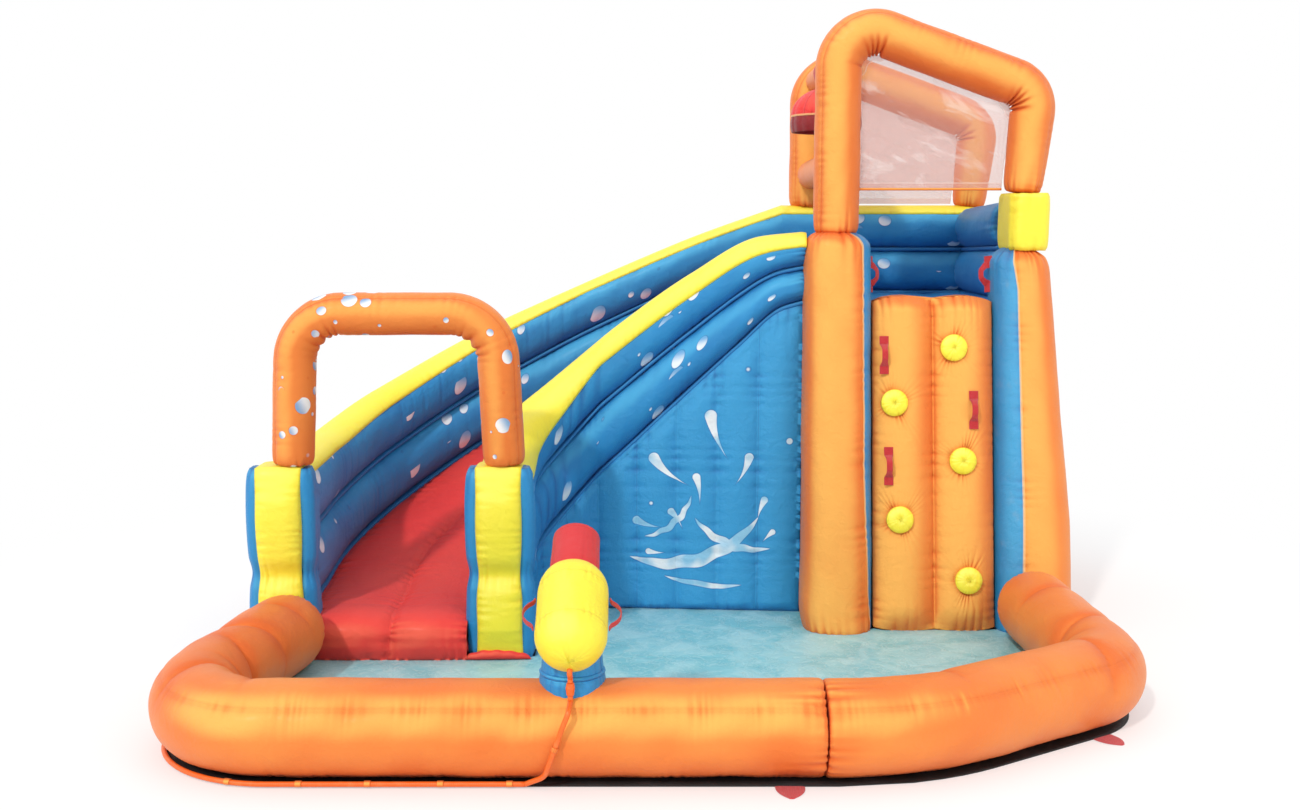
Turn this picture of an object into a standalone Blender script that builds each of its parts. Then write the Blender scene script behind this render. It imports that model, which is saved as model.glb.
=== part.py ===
"""Inflatable water park: splash pool, curved slide, climbing tower, tipping bucket, water cannon.

Every air chamber is a closed loft through sections. Z is up, the front of the pool faces -Y,
the slide is on the left (-X) and the tower on the right (+X). All sizes are metres.
"""
import math

import bmesh
import bpy
import numpy as np
from mathutils import Vector
from mathutils.bvhtree import BVHTree

for old in list(bpy.data.objects):
    bpy.data.objects.remove(old, do_unlink=True)

# Overall
WIDTH = 3.53                  # outside of the left pool wall to outside of the right column
CENTRE_SHIFT = -0.020         # from the drawing line between slide and tower to the middle of the width
DEPTH = 3.34                  # front anchor strap tip to rear anchor strap tip
HEIGHT = 2.67                 # ground to the top of the front frame
GAP = 0.0003                  # clearance between sewn neighbours

# Sheets on the ground
MAT_THICK = 0.003             # black base cloth
FLOOR_THICK = 0.003           # pool floor cloth
MAT_MARGIN = 0.055            # base cloth ends this far in from the widest line of the wall
MAT_TOP = MAT_THICK + GAP

# Pool wall
WALL_RADIUS = 0.158
WALL_REST = 0.006             # the wall is flattened by this much where it rests
FLOOR_EDGE = 0.064            # floor edge to the wall's centre line
ANCHOR_RIGHT_X = 1.30
STRAP_REACH = 0.040           # anchor straps reach this far beyond the pool wall
LEFT_LEAN = 0.125             # the left wall comes in this much on its way to the slide
LEFT_CORNER_RADIUS = 0.34
RIGHT_CUT_X = 0.80            # the front wall starts its wide right curve about here
RIGHT_CUT_Y = -0.97           # and is back along the side here
RIGHT_FRONT_RADIUS = 0.90
RIGHT_SIDE_RADIUS = 0.30
RIGHT_IN = 0.035              # the pool wall stays this far inside the column's outer edge
RIGHT_LEAN = 0.035
FRONT_STRAIGHT = 1.75         # straight front chamber

# Slide: profiles are (share of the run from the deck, height)
SLIDE_START_X = 0.620
WALL_END_Y = -0.150
REAR_LINE_Y = 1.450           # rear slide wall and rear guard
FRONT_LINE_Y = 0.470
FRONT_LINE_TURN_Y = 0.570
REAR_EXIT_X = -1.532
FRONT_EXIT_X = -0.655
REAR_TURN = 1.15
FRONT_TURN = 0.36
DECK_TOP = 1.405
BED_PROFILE = ((0, 1.405), (0.05, 1.375), (0.15, 1.215), (0.31, 0.945), (0.50, 0.625),
               (0.65, 0.405), (0.80, 0.255), (0.92, 0.190), (1.0, 0.178))
REAR_TOP = ((0, 1.840), (0.13, 1.690), (0.22, 1.570), (0.42, 1.285), (0.65, 0.960), (0.82, 0.810), (1.0, 0.785))
FRONT_TOP = ((0, 1.710), (0.10, 1.690), (0.27, 1.525), (0.46, 1.280), (0.66, 0.985), (0.82, 0.845), (1.0, 0.785))
BED_THICK = 0.045
BED_SWELL = 0.014             # crown of each half of the bed
WALL_HALF = 0.118             # half thickness of a slide wall
WALL_POWER = 2.4              # 2 is an ellipse, more is boxier
PANEL_THICK = 0.042
PANEL_BULGE = 0.016
CHANNEL_PITCH = 0.33
STRIP_THICK = 0.006           # yellow strip sewn along the wall tops

# Posts at the slide exit, and the arch over it
POST_FRONT_Y = -0.300
POST_HALF = 0.142
POST_CORNER = 0.044
POST_TOP = 0.783
POST_LOBES = ((0.0, 0.94), (0.05, 0.975), (0.20, 1.0), (0.36, 0.975), (0.45, 0.90),
              (0.54, 0.975), (0.72, 1.0), (0.88, 0.98), (0.96, 0.94), (1.0, 0.87))
PAD_THICK = 0.040
PAD_HALF = 0.092
TOE_TOP = 0.196
TOE_FRONT_Y = -0.325
ARCH_RADIUS = 0.086
ARCH_TOP = 1.482
ARCH_CORNER = 0.195
ARCH_LEFT_X = -1.455
ARCH_RIGHT_X = -0.662
ARCH_SPLAY = 0.028

# Tower: column profiles are (height, how far the outer edge is from the left or right limit)
COLUMN_LEFT_OUT = ((0, 0.615), (0.10, 0.600), (0.30, 0.608), (0.85, 0.614), (1.38, 0.6203),
                   (1.60, 0.6203), (1.675, 0.632), (1.705, 0.655))
COLUMN_RIGHT_OUT = ((0, 1.775), (0.10, 1.785), (0.35, 1.785), (0.86, 1.750), (1.35, 1.715),
                    (1.55, 1.700), (1.605, 1.682), (1.632, 1.650))
COLUMN_LEFT_IN = 0.918
COLUMN_RIGHT_IN = 1.444
COLUMN_FRONT = 0.030          # front face at the ground
COLUMN_LEAN = 0.245           # the front face is this much further back at the top
COLUMN_DEPTH = 0.300
COLUMN_SHELL = 0.022
CLIMB_TOP = 1.440
CLIMB_FRONT = 0.090
CLIMB_LEAN = 0.235
CLIMB_THICK = 0.120
CLIMB_SHELL = 0.018
CLIMB_LOBE = 0.042
DECK_THICK = 0.062
DECK_FRONT = 0.578
TOWER_RIGHT = 1.700
SIDE_PANEL_THICK = 0.050
GUARD_SPLIT = 0.218           # height of the lower guard tube
GUARD_RIGHT_X = 1.585
GUARD_RIGHT_HALF = 0.105
GUARD_RIGHT_RISE = 0.020
BLOCK_X = 1.592
BLOCK_HALF = 0.090
BLOCK_FRONT = 0.290
BLOCK_TOP = 1.884

# Footholds and webbing: (x, z) of each foothold, (x, z, length) of each wall handle
FOOTHOLD_RADIUS = 0.058
FOOTHOLD_RISE = 0.026
FOOTHOLDS = ((1.263, 1.218), (1.005, 0.983), (1.298, 0.736), (1.025, 0.487), (1.318, 0.230))
WALL_HANDLES = ((0.962, 1.228, 0.165), (1.345, 0.987, 0.165), (0.978, 0.742, 0.165))
WEBBING_END, WEBBING_MIDDLE = 0.040, 0.026
WEBBING_THICK = 0.004
WEBBING_RISE = 0.032
SIDE_HANDLE_Z = 1.530
SIDE_HANDLE_LONG = 0.160

# Top frames, nets and the bucket
FRAME_RADIUS = 0.102
FOOT_RADIUS = 0.085
FRAME_LEFT_X = 0.766
FRAME_RIGHT_X = 1.618
FRAME_FOOT_X = 1.578
FRAME_SLOPE = 0.362           # fall of the top bar per metre
FRAME_CORNER = 0.155
FRONT_FRAME_Y = 0.415
REAR_FRAME_DROP = 0.065
NET_THICK = 0.004
NET_HEM = 1.900
BAR_RADIUS = 0.056
BAR_X = 0.780
BAR_Z = HEIGHT - 0.215
HEADER_RADIUS = 0.074
HEADER_Z = HEIGHT - 0.675
BUCKET_Y = 0.940
BUCKET_RADIUS = 0.166
BUCKET_TOP = BAR_Z - 0.071
BUCKET_RIM = BUCKET_TOP - 0.206
BUCKET_WALL = 0.012
BAND_TALL = 0.075
HANGER_WIDE = 0.056
HANGER_THICK = 0.004

# Water cannon
CANNON_X = -0.297
CUFF_RADIUS = 0.106
CUFF_TOP = 0.332
RING_TOP = 0.3465
CAPSULE_Z = 0.522
TILT_AXIS_Z = 0.430
BARREL_RADIUS = 0.117
BARREL_HALF = 0.087           # middle to the centre of each domed end
BARREL_TILT = 30.0            # degrees above level at rest
NECK_RADIUS = 0.100
NECK_TOP = 0.440
SLEEVE_RADIUS = 0.082
SLEEVE_REACH = 0.345
SLEEVE_WALL = 0.010
SLEEVE_DEEP = 0.100
JET_RADIUS = 0.016
JET_LONG = 0.034
GRIP_OUT = 0.036
GRIP_HALF = 0.062

# Water hose and air inlet
HOSE_RADIUS = 0.0085
HOSE_CLEAR = 0.003            # hose to the corners of the wall's skin
HOSE_OUT = 0.112              # hose to the wall's centre line on the ground
HOSE_TURN_X = -0.44           # where the hose reaches the ground
HOSE_END_Y = -0.86
COUPLING_RADIUS = 0.015
AIR_RADIUS = 0.095
AIR_WALL = 0.010
AIR_LONG = 0.300
AIR_HEM, AIR_MOUTH, AIR_BORE = 0.98, 0.95, 0.97  # the sleeve narrows at its hem, mouth and bore
AIR_SHARE = 0.58              # place of the air inlet along the slide

# Derived lines
POOL_LEFT = -WIDTH / 2 - CENTRE_SHIFT + WALL_RADIUS
POOL_RIGHT = WIDTH / 2 - CENTRE_SHIFT - RIGHT_IN - WALL_RADIUS
POOL_FRONT = -DEPTH / 2 + STRAP_REACH + WALL_RADIUS
WALL_CENTRE = MAT_TOP + WALL_RADIUS - WALL_REST
CANNON_Y = POOL_FRONT + 0.015
GUARD_BASE = DECK_TOP + GAP
SHIFT = np.array((CENTRE_SHIFT, 0.0, 0.0))
TILT = math.radians(BARREL_TILT)
STRIP_CORNERS = {"left": (1, 2, 3, 4), "right": (0, 1, 2, 3, 4)}  # of a wall tube's twelve corners
SURFACES = {}
SOLIDS = {}
CUTTERS = {}
STATIONS = np.array([0, 0.008, 0.018] + [0.05 * i for i in range(1, 20)] + [0.982, 0.992, 1.0])


def material(name, colour, roughness, metallic=0.0):
    """A plain surface with the part's own colour."""
    made = bpy.data.materials.new(name)
    made.use_nodes = True
    shader = made.node_tree.nodes["Principled BSDF"]
    shader.inputs["Base Color"].default_value = (*colour, 1.0)
    shader.inputs["Roughness"].default_value = roughness
    shader.inputs["Metallic"].default_value = metallic
    return made


ORANGE = material("orange_cloth", (0.90, 0.26, 0.05), 0.45)
BLUE = material("blue_cloth", (0.03, 0.24, 0.55), 0.45)
YELLOW = material("yellow_cloth", (1.00, 0.86, 0.03), 0.45)
RED = material("red_cloth", (0.80, 0.04, 0.05), 0.45)
AQUA = material("pool_floor_cloth", (0.33, 0.66, 0.72), 0.40)
BLACK = material("base_cloth", (0.02, 0.02, 0.02), 0.60)
NET = material("net", (0.92, 0.90, 0.88), 0.60)
WEBBING = material("red_webbing", (0.72, 0.03, 0.05), 0.70)
HOSE = material("hose_orange", (0.88, 0.24, 0.06), 0.50)
PLASTIC = material("coupling_plastic", (0.85, 0.55, 0.10), 0.35)


def split_quads(verts, faces):
    """Quads cut on the diagonal through the corner that comes first in one fixed direction."""
    rank = verts @ np.array((0.71, 1.31, 0.43))
    cut = []
    for face in faces:
        if len(face) != 4:
            cut.append(face)
            continue
        a, b, c, d = face
        if int(np.argmin(rank[list(face)])) % 2 == 0:
            cut += [(a, b, c), (a, c, d)]
        else:
            cut += [(a, b, d), (b, c, d)]
    return cut


def place(name, verts, faces, finish, pivot=None):
    """One named object from points and faces; a moving piece hangs on an empty on its axis."""
    verts = np.asarray(verts, dtype=float)
    faces = split_quads(verts, faces)
    origin = np.array(pivot.location) if pivot else np.zeros(3)
    origin = origin - SHIFT
    mesh = bpy.data.meshes.new(name)
    mesh.from_pydata((verts - origin).tolist(), [], faces)
    work = bmesh.new()
    work.from_mesh(mesh)
    bmesh.ops.recalc_face_normals(work, faces=work.faces)
    if work.calc_volume(signed=True) < 0:
        bmesh.ops.reverse_faces(work, faces=work.faces)
    work.to_mesh(mesh)
    work.free()
    mesh.shade_smooth()
    mesh.set_sharp_from_angle(angle=math.radians(50))
    mesh.materials.append(finish)
    made = bpy.data.objects.new(name, mesh)
    made.parent = pivot
    bpy.context.collection.objects.link(made)
    points = [tuple(v) for v in verts]
    SURFACES[name] = BVHTree.FromPolygons(points, [tuple(f) for f in faces])
    SOLIDS[name] = (points, [], faces)
    return made


def axis_point(name, spot):
    """Empty on a joint axis; the pieces that move with the joint are parented to it."""
    made = bpy.data.objects.new(name, None)
    made.location = np.array(spot) + SHIFT
    bpy.context.collection.objects.link(made)
    bpy.context.view_layer.update()
    return made


def seat_on(made, *neighbours):
    """Cut a piece to sit against its neighbours, each grown by the clearance."""
    for name in neighbours:
        if name not in CUTTERS:
            mesh = bpy.data.meshes.new("cutter_" + name)
            mesh.from_pydata(*SOLIDS[name])
            work = bmesh.new()
            work.from_mesh(mesh)
            bmesh.ops.recalc_face_normals(work, faces=work.faces)
            if work.calc_volume(signed=True) < 0:
                bmesh.ops.reverse_faces(work, faces=work.faces)
            work.normal_update()
            for vert, normal in [(v, v.normal.copy()) for v in work.verts]:
                vert.co += normal * GAP * 1.4
            work.to_mesh(mesh)
            work.free()
            cutter = bpy.data.objects.new("cutter_" + name, mesh)
            cutter.location = SHIFT
            cutter.hide_render = True
            cutter.display_type = "WIRE"
            bpy.context.collection.objects.link(cutter)
            CUTTERS[name] = cutter
        cut = made.modifiers.new("seat_" + name, "BOOLEAN")
        cut.operation = "DIFFERENCE"
        cut.solver = "EXACT"
        cut.object = CUTTERS[name]


def ring_faces(count, sides, first=0, capped=True):
    """Side quads of a loft of count rings, and a flat cap at each end."""
    faces = []
    for i in range(count - 1):
        for k in range(sides):
            a = first + i * sides + k
            b = first + i * sides + (k + 1) % sides
            faces.append((a, b, b + sides, a + sides))
    if capped:
        faces.append(tuple(range(first, first + sides)))
        faces.append(tuple(range(first + (count - 1) * sides, first + count * sides)))
    return faces


def loft(name, rings, finish, pivot=None):
    """Closed skin through an array of rings, shape (rings, sides, 3)."""
    rings = np.asarray(rings, dtype=float)
    count, sides = rings.shape[:2]
    return place(name, rings.reshape(-1, 3), ring_faces(count, sides), finish, pivot)


def shell(name, outer, inner, finish, pivot=None):
    """Outer loft and inner loft joined at their last rings, so the hollow is open there."""
    outer, inner = np.asarray(outer, dtype=float), np.asarray(inner, dtype=float)
    (n_out, sides), n_in = outer.shape[:2], inner.shape[0]
    start = n_out * sides
    faces = ring_faces(n_out, sides, 0, False) + ring_faces(n_in, sides, start, False)
    faces.append(tuple(range(sides)))
    faces.append(tuple(range(start, start + sides)))
    last_out, last_in = start - sides, start + (n_in - 1) * sides
    for k in range(sides):
        nxt = (k + 1) % sides
        faces.append((last_out + k, last_out + nxt, last_in + nxt, last_in + k))
    made = place(name, np.vstack([outer.reshape(-1, 3), inner.reshape(-1, 3)]), faces, finish, pivot)
    skin = outer.reshape(-1, 3)
    SOLIDS[name] = ([tuple(v) for v in skin], [], split_quads(skin, ring_faces(n_out, sides)))
    return made


def chamber(name, rings, finish, wall):
    """Air chamber with a thick skin, open at its last ring where air passes to the next one."""
    inner = rings[1:]
    centre = inner.mean(axis=1, keepdims=True)
    away = inner - centre
    reach = np.linalg.norm(away, axis=2, keepdims=True)
    return shell(name, rings, centre + away * (1 - wall / reach), finish)


def filleted(corners, radii, step=math.radians(14)):
    """A line through plan corners, each rounded by its radius, with an arc point about every step."""
    corners = [Vector((c[0], c[1], 0.0)) for c in corners]
    line = [corners[0]]
    for before, corner, after, radius in zip(corners, corners[1:], corners[2:], radii):
        back, ahead = (before - corner).normalized(), (after - corner).normalized()
        half = back.angle(ahead) / 2
        centre = corner + (back + ahead).normalized() * (radius / math.sin(half))
        start = corner + back * (radius / math.tan(half)) - centre
        end = corner + ahead * (radius / math.tan(half)) - centre
        turn = math.pi - 2 * half
        cuts = max(2, round(turn / step))
        for i in range(cuts + 1):
            share = i / cuts
            early, late = math.sin((1 - share) * turn), math.sin(share * turn)
            line.append(centre + (start * early + end * late) / math.sin(turn))
    line.append(corners[-1])
    return np.array([tuple(p) for p in line])


def along(line):
    """Distance travelled at each point of a line."""
    return np.concatenate([[0.0], np.cumsum(np.linalg.norm(np.diff(line, axis=0), axis=1))])


def resample(line, places):
    """Points of a line at the given shares of its length."""
    run = along(line)
    return np.stack([np.interp(np.asarray(places) * run[-1], run, line[:, k]) for k in range(3)], 1)


def profile(points, places):
    """Smooth curve through a few (place, value) points that never swings past them."""
    x, y = np.array(points, dtype=float).T
    step = np.diff(y) / np.diff(x)
    slope = np.concatenate([[step[0]], np.zeros(len(x) - 2), [step[-1]]])
    same = step[1:] * step[:-1] > 0
    slope[1:-1][same] = 2 * step[1:][same] * step[:-1][same] / (step[1:] + step[:-1])[same]
    places = np.asarray(places, dtype=float)
    k = np.clip(np.searchsorted(x, places, side="right") - 1, 0, len(x) - 2)
    wide = x[k + 1] - x[k]
    t = (places - x[k]) / wide
    start, end = (1 + 2 * t) * (1 - t) ** 2, t * t * (3 - 2 * t)
    lead, trail = t * (1 - t) ** 2 * wide, t * t * (t - 1) * wide
    return start * y[k] + end * y[k + 1] + lead * slope[k] + trail * slope[k + 1]


def directions(line):
    """Unit direction of travel at each point."""
    way = np.gradient(line, axis=0)
    way[0], way[-1] = line[1] - line[0], line[-1] - line[-2]
    return way / np.linalg.norm(way, axis=1)[:, None]


def sideways(line):
    """Level unit normal at each point, to the left of the direction of travel."""
    way = directions(line)
    side = np.stack([-way[:, 1], way[:, 0], np.zeros(len(way))], 1)
    return side / np.linalg.norm(side, axis=1)[:, None]


def beside(line, distance):
    """The plan line moved sideways, to the left of travel when the distance is positive."""
    return line + sideways(line) * distance


def rounded_section(sides, power):
    """Points of |a|^p + |b|^p = 1 half a step off the axes, stretched to reach 1 each way."""
    turn = (np.arange(sides) + 0.5) * 2 * math.pi / sides
    c, s = np.cos(turn), np.sin(turn)
    a = np.sign(c) * np.abs(c) ** (2 / power)
    b = np.sign(s) * np.abs(s) ** (2 / power)
    return a / np.abs(a).max(), b / np.abs(b).max()


def shoulders(run, ease, pinch=0.86):
    """Size of the section along a chamber: drawn in at both ends, full after ease."""
    room = np.minimum(run, run[-1] - run)
    return pinch + (1 - pinch) * np.sin(np.clip(room / ease, 0, 1) * math.pi / 2)


def with_ends(line, ease):
    """The same line with two extra points near each end, for the drawn-in shoulder."""
    run = along(line)
    keep = run[(run > ease * 1.4) & (run < run[-1] - ease * 1.4)]
    places = np.concatenate([[0.0, ease / 2, ease], keep, run[-1] - np.array([ease, ease / 2, 0.0])])
    return resample(line, places / run[-1])


def wall_tube(line, low, high, half, ease=0.05, sides=12, power=WALL_POWER):
    """Rings of a chamber that stands on a plan line between two heights."""
    line = np.asarray(line)
    low, high = np.broadcast_to(low, len(line)), np.broadcast_to(high, len(line))
    a, b = rounded_section(sides, power)
    full = shoulders(along(line), ease)
    mid, rise = (low + high) / 2, (high - low) / 2
    rings = line[:, None] + sideways(line)[:, None] * (a[None] * half * full[:, None])[..., None]
    rings[..., 2] = mid[:, None] + b[None] * (rise * full)[:, None]
    return rings


def flat_tube(line, radius, normal, sides=12, ease=0.0, pinch=0.80):
    """Rings of a round tube on a line that stays in one plane; normal is the plane's."""
    line = np.asarray(line)
    radius = np.broadcast_to(radius, len(line)).astype(float)
    normal = np.array(normal, dtype=float)
    side = np.cross(normal, directions(line))
    turn = (np.arange(sides) + 0.5) * 2 * math.pi / sides
    if ease:
        radius = radius * shoulders(along(line), ease, pinch)
    ring = np.cos(turn)[None, :, None] * side[:, None] + np.sin(turn)[None, :, None] * normal
    return line[:, None] + ring * radius[:, None, None]


def free_tube(line, radius, sides=8):
    """Rings of a round tube on any line, turned as little as possible from ring to ring."""
    line = np.asarray(line, dtype=float)
    way = directions(line)
    across = np.cross(way[0], (0.0, 0.0, 1.0) if abs(way[0][2]) < 0.9 else (0.0, 1.0, 0.0))
    turn = (np.arange(sides) + 0.5) * 2 * math.pi / sides
    rings = []
    for spot, ahead in zip(line, way):
        across = across - ahead * np.dot(across, ahead)
        across /= np.linalg.norm(across)
        up = np.cross(ahead, across)
        rings.append(spot + radius * (np.outer(np.cos(turn), across) + np.outer(np.sin(turn), up)))
    return np.array(rings)


def smooth_line(points, count):
    """Evenly cut curve through a few points in space."""
    points = np.asarray(points, dtype=float)
    run = along(points) / along(points)[-1]
    fine = np.linspace(0, 1, 12 * len(points))
    curve = np.stack([profile(np.stack([run, points[:, k]], 1), fine) for k in range(3)], 1)
    return resample(curve, np.linspace(0, 1, count))


def prism(outline, low, high):
    """Points and faces of a flat plate over a plan outline."""
    count = len(outline)
    points = [(x, y, low) for x, y in outline] + [(x, y, high) for x, y in outline]
    faces = [tuple(range(count)), tuple(range(count, 2 * count))]
    faces += [(i, (i + 1) % count, count + (i + 1) % count, count + i) for i in range(count)]
    return points, faces


def dome_rings(centre, way, radius, reach, count=5, sides=12):
    """Rings of a round dome that starts full size and closes to a small disc."""
    way = Vector(way).normalized()
    across = way.orthogonal().normalized()
    up = way.cross(across)
    turn = (np.arange(sides) + 0.5) * 2 * math.pi / sides
    rings = []
    for i in range(count):
        lift = i / (count - 1) * math.radians(80)
        r = radius * math.cos(lift)
        spot = np.array(Vector(centre) + way * (reach * math.sin(lift)))
        rings.append(spot + r * (np.outer(np.cos(turn), across) + np.outer(np.sin(turn), up)))
    return np.array(rings)


def touch(name, start, way):
    """Where a straight look from start first meets a finished piece."""
    hit, normal, _, _ = SURFACES[name].ray_cast(Vector(start), Vector(way).normalized())
    return hit, normal


def ribbon(name, line, outward, widths, thick, finish, pivot=None):
    """Webbing along a line: a flat section as wide as widths, thick measured outward."""
    line = np.asarray(line, dtype=float)
    outward = np.asarray(outward, dtype=float)
    way = directions(line)
    rings = []
    for spot, ahead, out, wide in zip(line, way, np.broadcast_to(outward, line.shape), widths):
        across = np.cross(ahead, out)
        across /= np.linalg.norm(across)
        lift = np.cross(across, ahead)
        lift *= np.sign(np.dot(lift, out)) * thick
        across *= wide / 2
        rings.append([spot - across, spot + across, spot + across + lift, spot - across + lift])
    return loft(name, rings, finish, pivot)


def pool_line():
    """Centre line of the pool wall from the left post round the front to the right column."""
    corners = (
        (POOL_LEFT + LEFT_LEAN, POST_FRONT_Y - PAD_THICK - 4 * GAP),
        (POOL_LEFT, (POST_FRONT_Y + POOL_FRONT) / 2 - 0.12),
        (POOL_LEFT, POOL_FRONT),
        (RIGHT_CUT_X, POOL_FRONT),
        (POOL_RIGHT, RIGHT_CUT_Y),
        (POOL_RIGHT - RIGHT_LEAN, COLUMN_FRONT - 2 * GAP),
    )
    return filleted(corners, (0.40, LEFT_CORNER_RADIUS, RIGHT_FRONT_RADIUS, RIGHT_SIDE_RADIUS))


def rear_line():
    """Plan centre line of the slide's rear wall, from the deck to the exit."""
    corners = ((SLIDE_START_X, REAR_LINE_Y), (REAR_EXIT_X, REAR_LINE_Y), (REAR_EXIT_X, WALL_END_Y))
    return resample(filleted(corners, (REAR_TURN,), math.radians(5)), STATIONS)


def front_line():
    """Plan centre line of the slide's front wall, from the tower column to the exit."""
    corners = ((SLIDE_START_X, FRONT_LINE_Y), (FRONT_EXIT_X, FRONT_LINE_TURN_Y), (FRONT_EXIT_X, WALL_END_Y))
    return resample(filleted(corners, (FRONT_TURN,), math.radians(8)), STATIONS)


def pool_walls():
    """Three chambers butted end to end, each a round tube with a flat where it rests."""
    line = pool_line()
    run = along(line)
    total = run[-1]
    corner = run[np.argmin(np.hypot(line[:, 0] - POOL_LEFT - LEFT_CORNER_RADIUS, line[:, 1] - POOL_FRONT))]
    ends = [0.0, corner + 0.06, corner + FRONT_STRAIGHT, total]
    for name, begin, end in zip(("pool_wall_left", "pool_wall_front", "pool_wall_right"), ends, ends[1:]):
        begin, end = begin + GAP / 2, end - GAP / 2
        inner = run[(run > begin + 0.08) & (run < end - 0.08)]
        keep = np.concatenate([[begin, begin + 0.03, begin + 0.06], inner, [end - 0.06, end - 0.03, end]])
        part = resample(line, keep / total)
        full = shoulders(along(part), 0.06, 0.90)
        a, b = rounded_section(14, 2.0)
        reach = a * WALL_RADIUS * full[:, None]
        rings = part[:, None] + sideways(part)[:, None] * reach[..., None]
        rings[..., 2] = np.maximum(WALL_CENTRE + b * WALL_RADIUS * full[:, None], MAT_TOP)
        if name == "pool_wall_left":
            rings[0][:, 1] = part[0][1]
        if name == "pool_wall_right":
            rings[-1][:, 1] = part[-1][1]
        if name == "pool_wall_front":
            chamber(name, rings, ORANGE, COLUMN_SHELL)
        else:
            loft(name, rings, ORANGE)


def ground_sheets():
    """Base cloth under everything and the pool floor inside the wall."""
    line = pool_line()
    edge = beside(line, -(WALL_RADIUS - MAT_MARGIN))
    rear = beside(rear_line(), -WALL_HALF)[::2]
    outline = [(x, y) for x, y, _ in edge]
    outline += [(TOWER_RIGHT, COLUMN_FRONT + 0.1), (TOWER_RIGHT, REAR_LINE_Y + WALL_HALF)]
    outline += [(x, y) for x, y, _ in rear]
    place("ground_mat", *prism(outline, 0.0, MAT_THICK), BLACK)

    floor = [(x, y) for x, y, _ in beside(line, FLOOR_EDGE) if y < POST_FRONT_Y - 0.06]
    foot = beside(front_line(), 0.0403 + PANEL_THICK + PANEL_BULGE + 0.004)
    left = COLUMN_LEFT_OUT[1][1] - 0.012
    floor += [(COLUMN_RIGHT_IN - 0.01, COLUMN_FRONT - 0.004), (left, COLUMN_FRONT - 0.004)]
    floor += [(x, y) for x, y, _ in foot[3:-3] if x < left]
    side = FRONT_EXIT_X + POST_HALF + 0.004
    floor += [(side, WALL_END_Y), (side, POST_FRONT_Y - 0.05)]
    floor += [(FRONT_EXIT_X - POST_HALF, POST_FRONT_Y - 0.05), (REAR_EXIT_X + POST_HALF, POST_FRONT_Y - 0.05)]
    place("pool_floor", *prism(floor, MAT_TOP, MAT_TOP + FLOOR_THICK), AQUA)


def slide_wall(prefix, line, top, before):
    """Two stacked tubes on one plan line; before holds the level points along the deck."""
    low = np.concatenate([np.full(len(before), GUARD_BASE), profile(BED_PROFILE, STATIONS) + GAP])
    high = np.concatenate([np.full(len(before), top[0][1]), profile(top, STATIONS)])
    if len(before):
        line = np.concatenate([before, line])
    middle = (low + high) / 2
    lower = wall_tube(line, low, middle - GAP / 2, WALL_HALF)
    upper = wall_tube(line, middle + GAP / 2, high - STRIP_THICK, WALL_HALF)
    lower[0][:, 0] = upper[0][:, 0] = line[0][0]
    loft(prefix + "_wall_lower", lower, BLUE)
    loft(prefix + "_wall_upper", upper, BLUE)
    return upper


def slide_bed():
    """Bed between the walls: flat under them, two soft crowns and a seam between."""
    a, b = rounded_section(12, WALL_POWER)
    land = WALL_HALF * np.abs(a[b == b.min()]).max()
    height = profile(BED_PROFILE, STATIONS)
    rear, front = rear_line(), front_line()
    clear = WALL_HALF + 0.006
    rear_edges = [beside(rear, reach) for reach in (-land, land, clear)]
    front_edges = [beside(front, reach) for reach in (-clear, -land, land)]
    span = front_edges[0] - rear_edges[2]
    rings = []
    for i, top in enumerate(height):
        row = [edge[i] for edge in rear_edges]
        row += [rear_edges[2][i] + span[i] * share for share in (0.10, 0.24, 0.40, 0.50, 0.60, 0.76, 0.90)]
        row += [edge[i] for edge in front_edges]
        row = np.array(row)
        crown = BED_SWELL * math.sin(math.pi * min(1.0, i / 4, (len(height) - 1 - i) / 3) / 2)
        row[:, 2] = top + crown * np.array([0, 0, 0, 0.5, 1, 0.5, -0.5, 0.5, 1, 0.5, 0, 0, 0])
        under = row[[12, 11, 6, 1, 0]].copy()
        under[:, 2] = top - BED_THICK
        rings.append(np.concatenate([row, under]))
    rings[0][:, 0] = SLIDE_START_X
    loft("slide_bed", rings, RED)
    return land


def side_panel(name, line, side, land, finish):
    """Upright cushion with vertical channels, under a slide wall and outside the bed's edge."""
    top = np.minimum.accumulate(profile(BED_PROFILE, STATIONS)) - GAP
    keep = range(1, len(STATIONS) - 1)
    rings = []
    for i in keep:
        swell = PANEL_BULGE * (i % 2)
        reach = np.array([0, 0, 0.7, 1, 1, 0.7]) * PANEL_THICK + np.array([0, 0, 0, 1, 1, 0]) * swell
        crest = top[i]
        tall = crest - MAT_TOP
        levels = MAT_TOP + tall * np.array([0, 1, 1, 0.93, 0.05, 0])
        out = sideways(line)[i] * side
        ring = line[i] + out * (land + GAP + reach)[:, None]
        ring[:, 2] = levels
        rings.append(ring)
    loft(name, rings, finish)


def rounded_rectangle(half_x, half_y, corner):
    """Plan outline of a rounded rectangle, anticlockwise, starting at the middle of its left side."""
    outline = []
    for start, cx, cy in ((180, -1, -1), (270, 1, -1), (0, 1, 1), (90, -1, 1)):
        for turn in (8, 45, 82):
            angle = math.radians(start + turn)
            outline.append((cx * (half_x - corner) + corner * math.cos(angle),
                            cy * (half_y - corner) + corner * math.sin(angle)))
    return np.array(outline)


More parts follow.
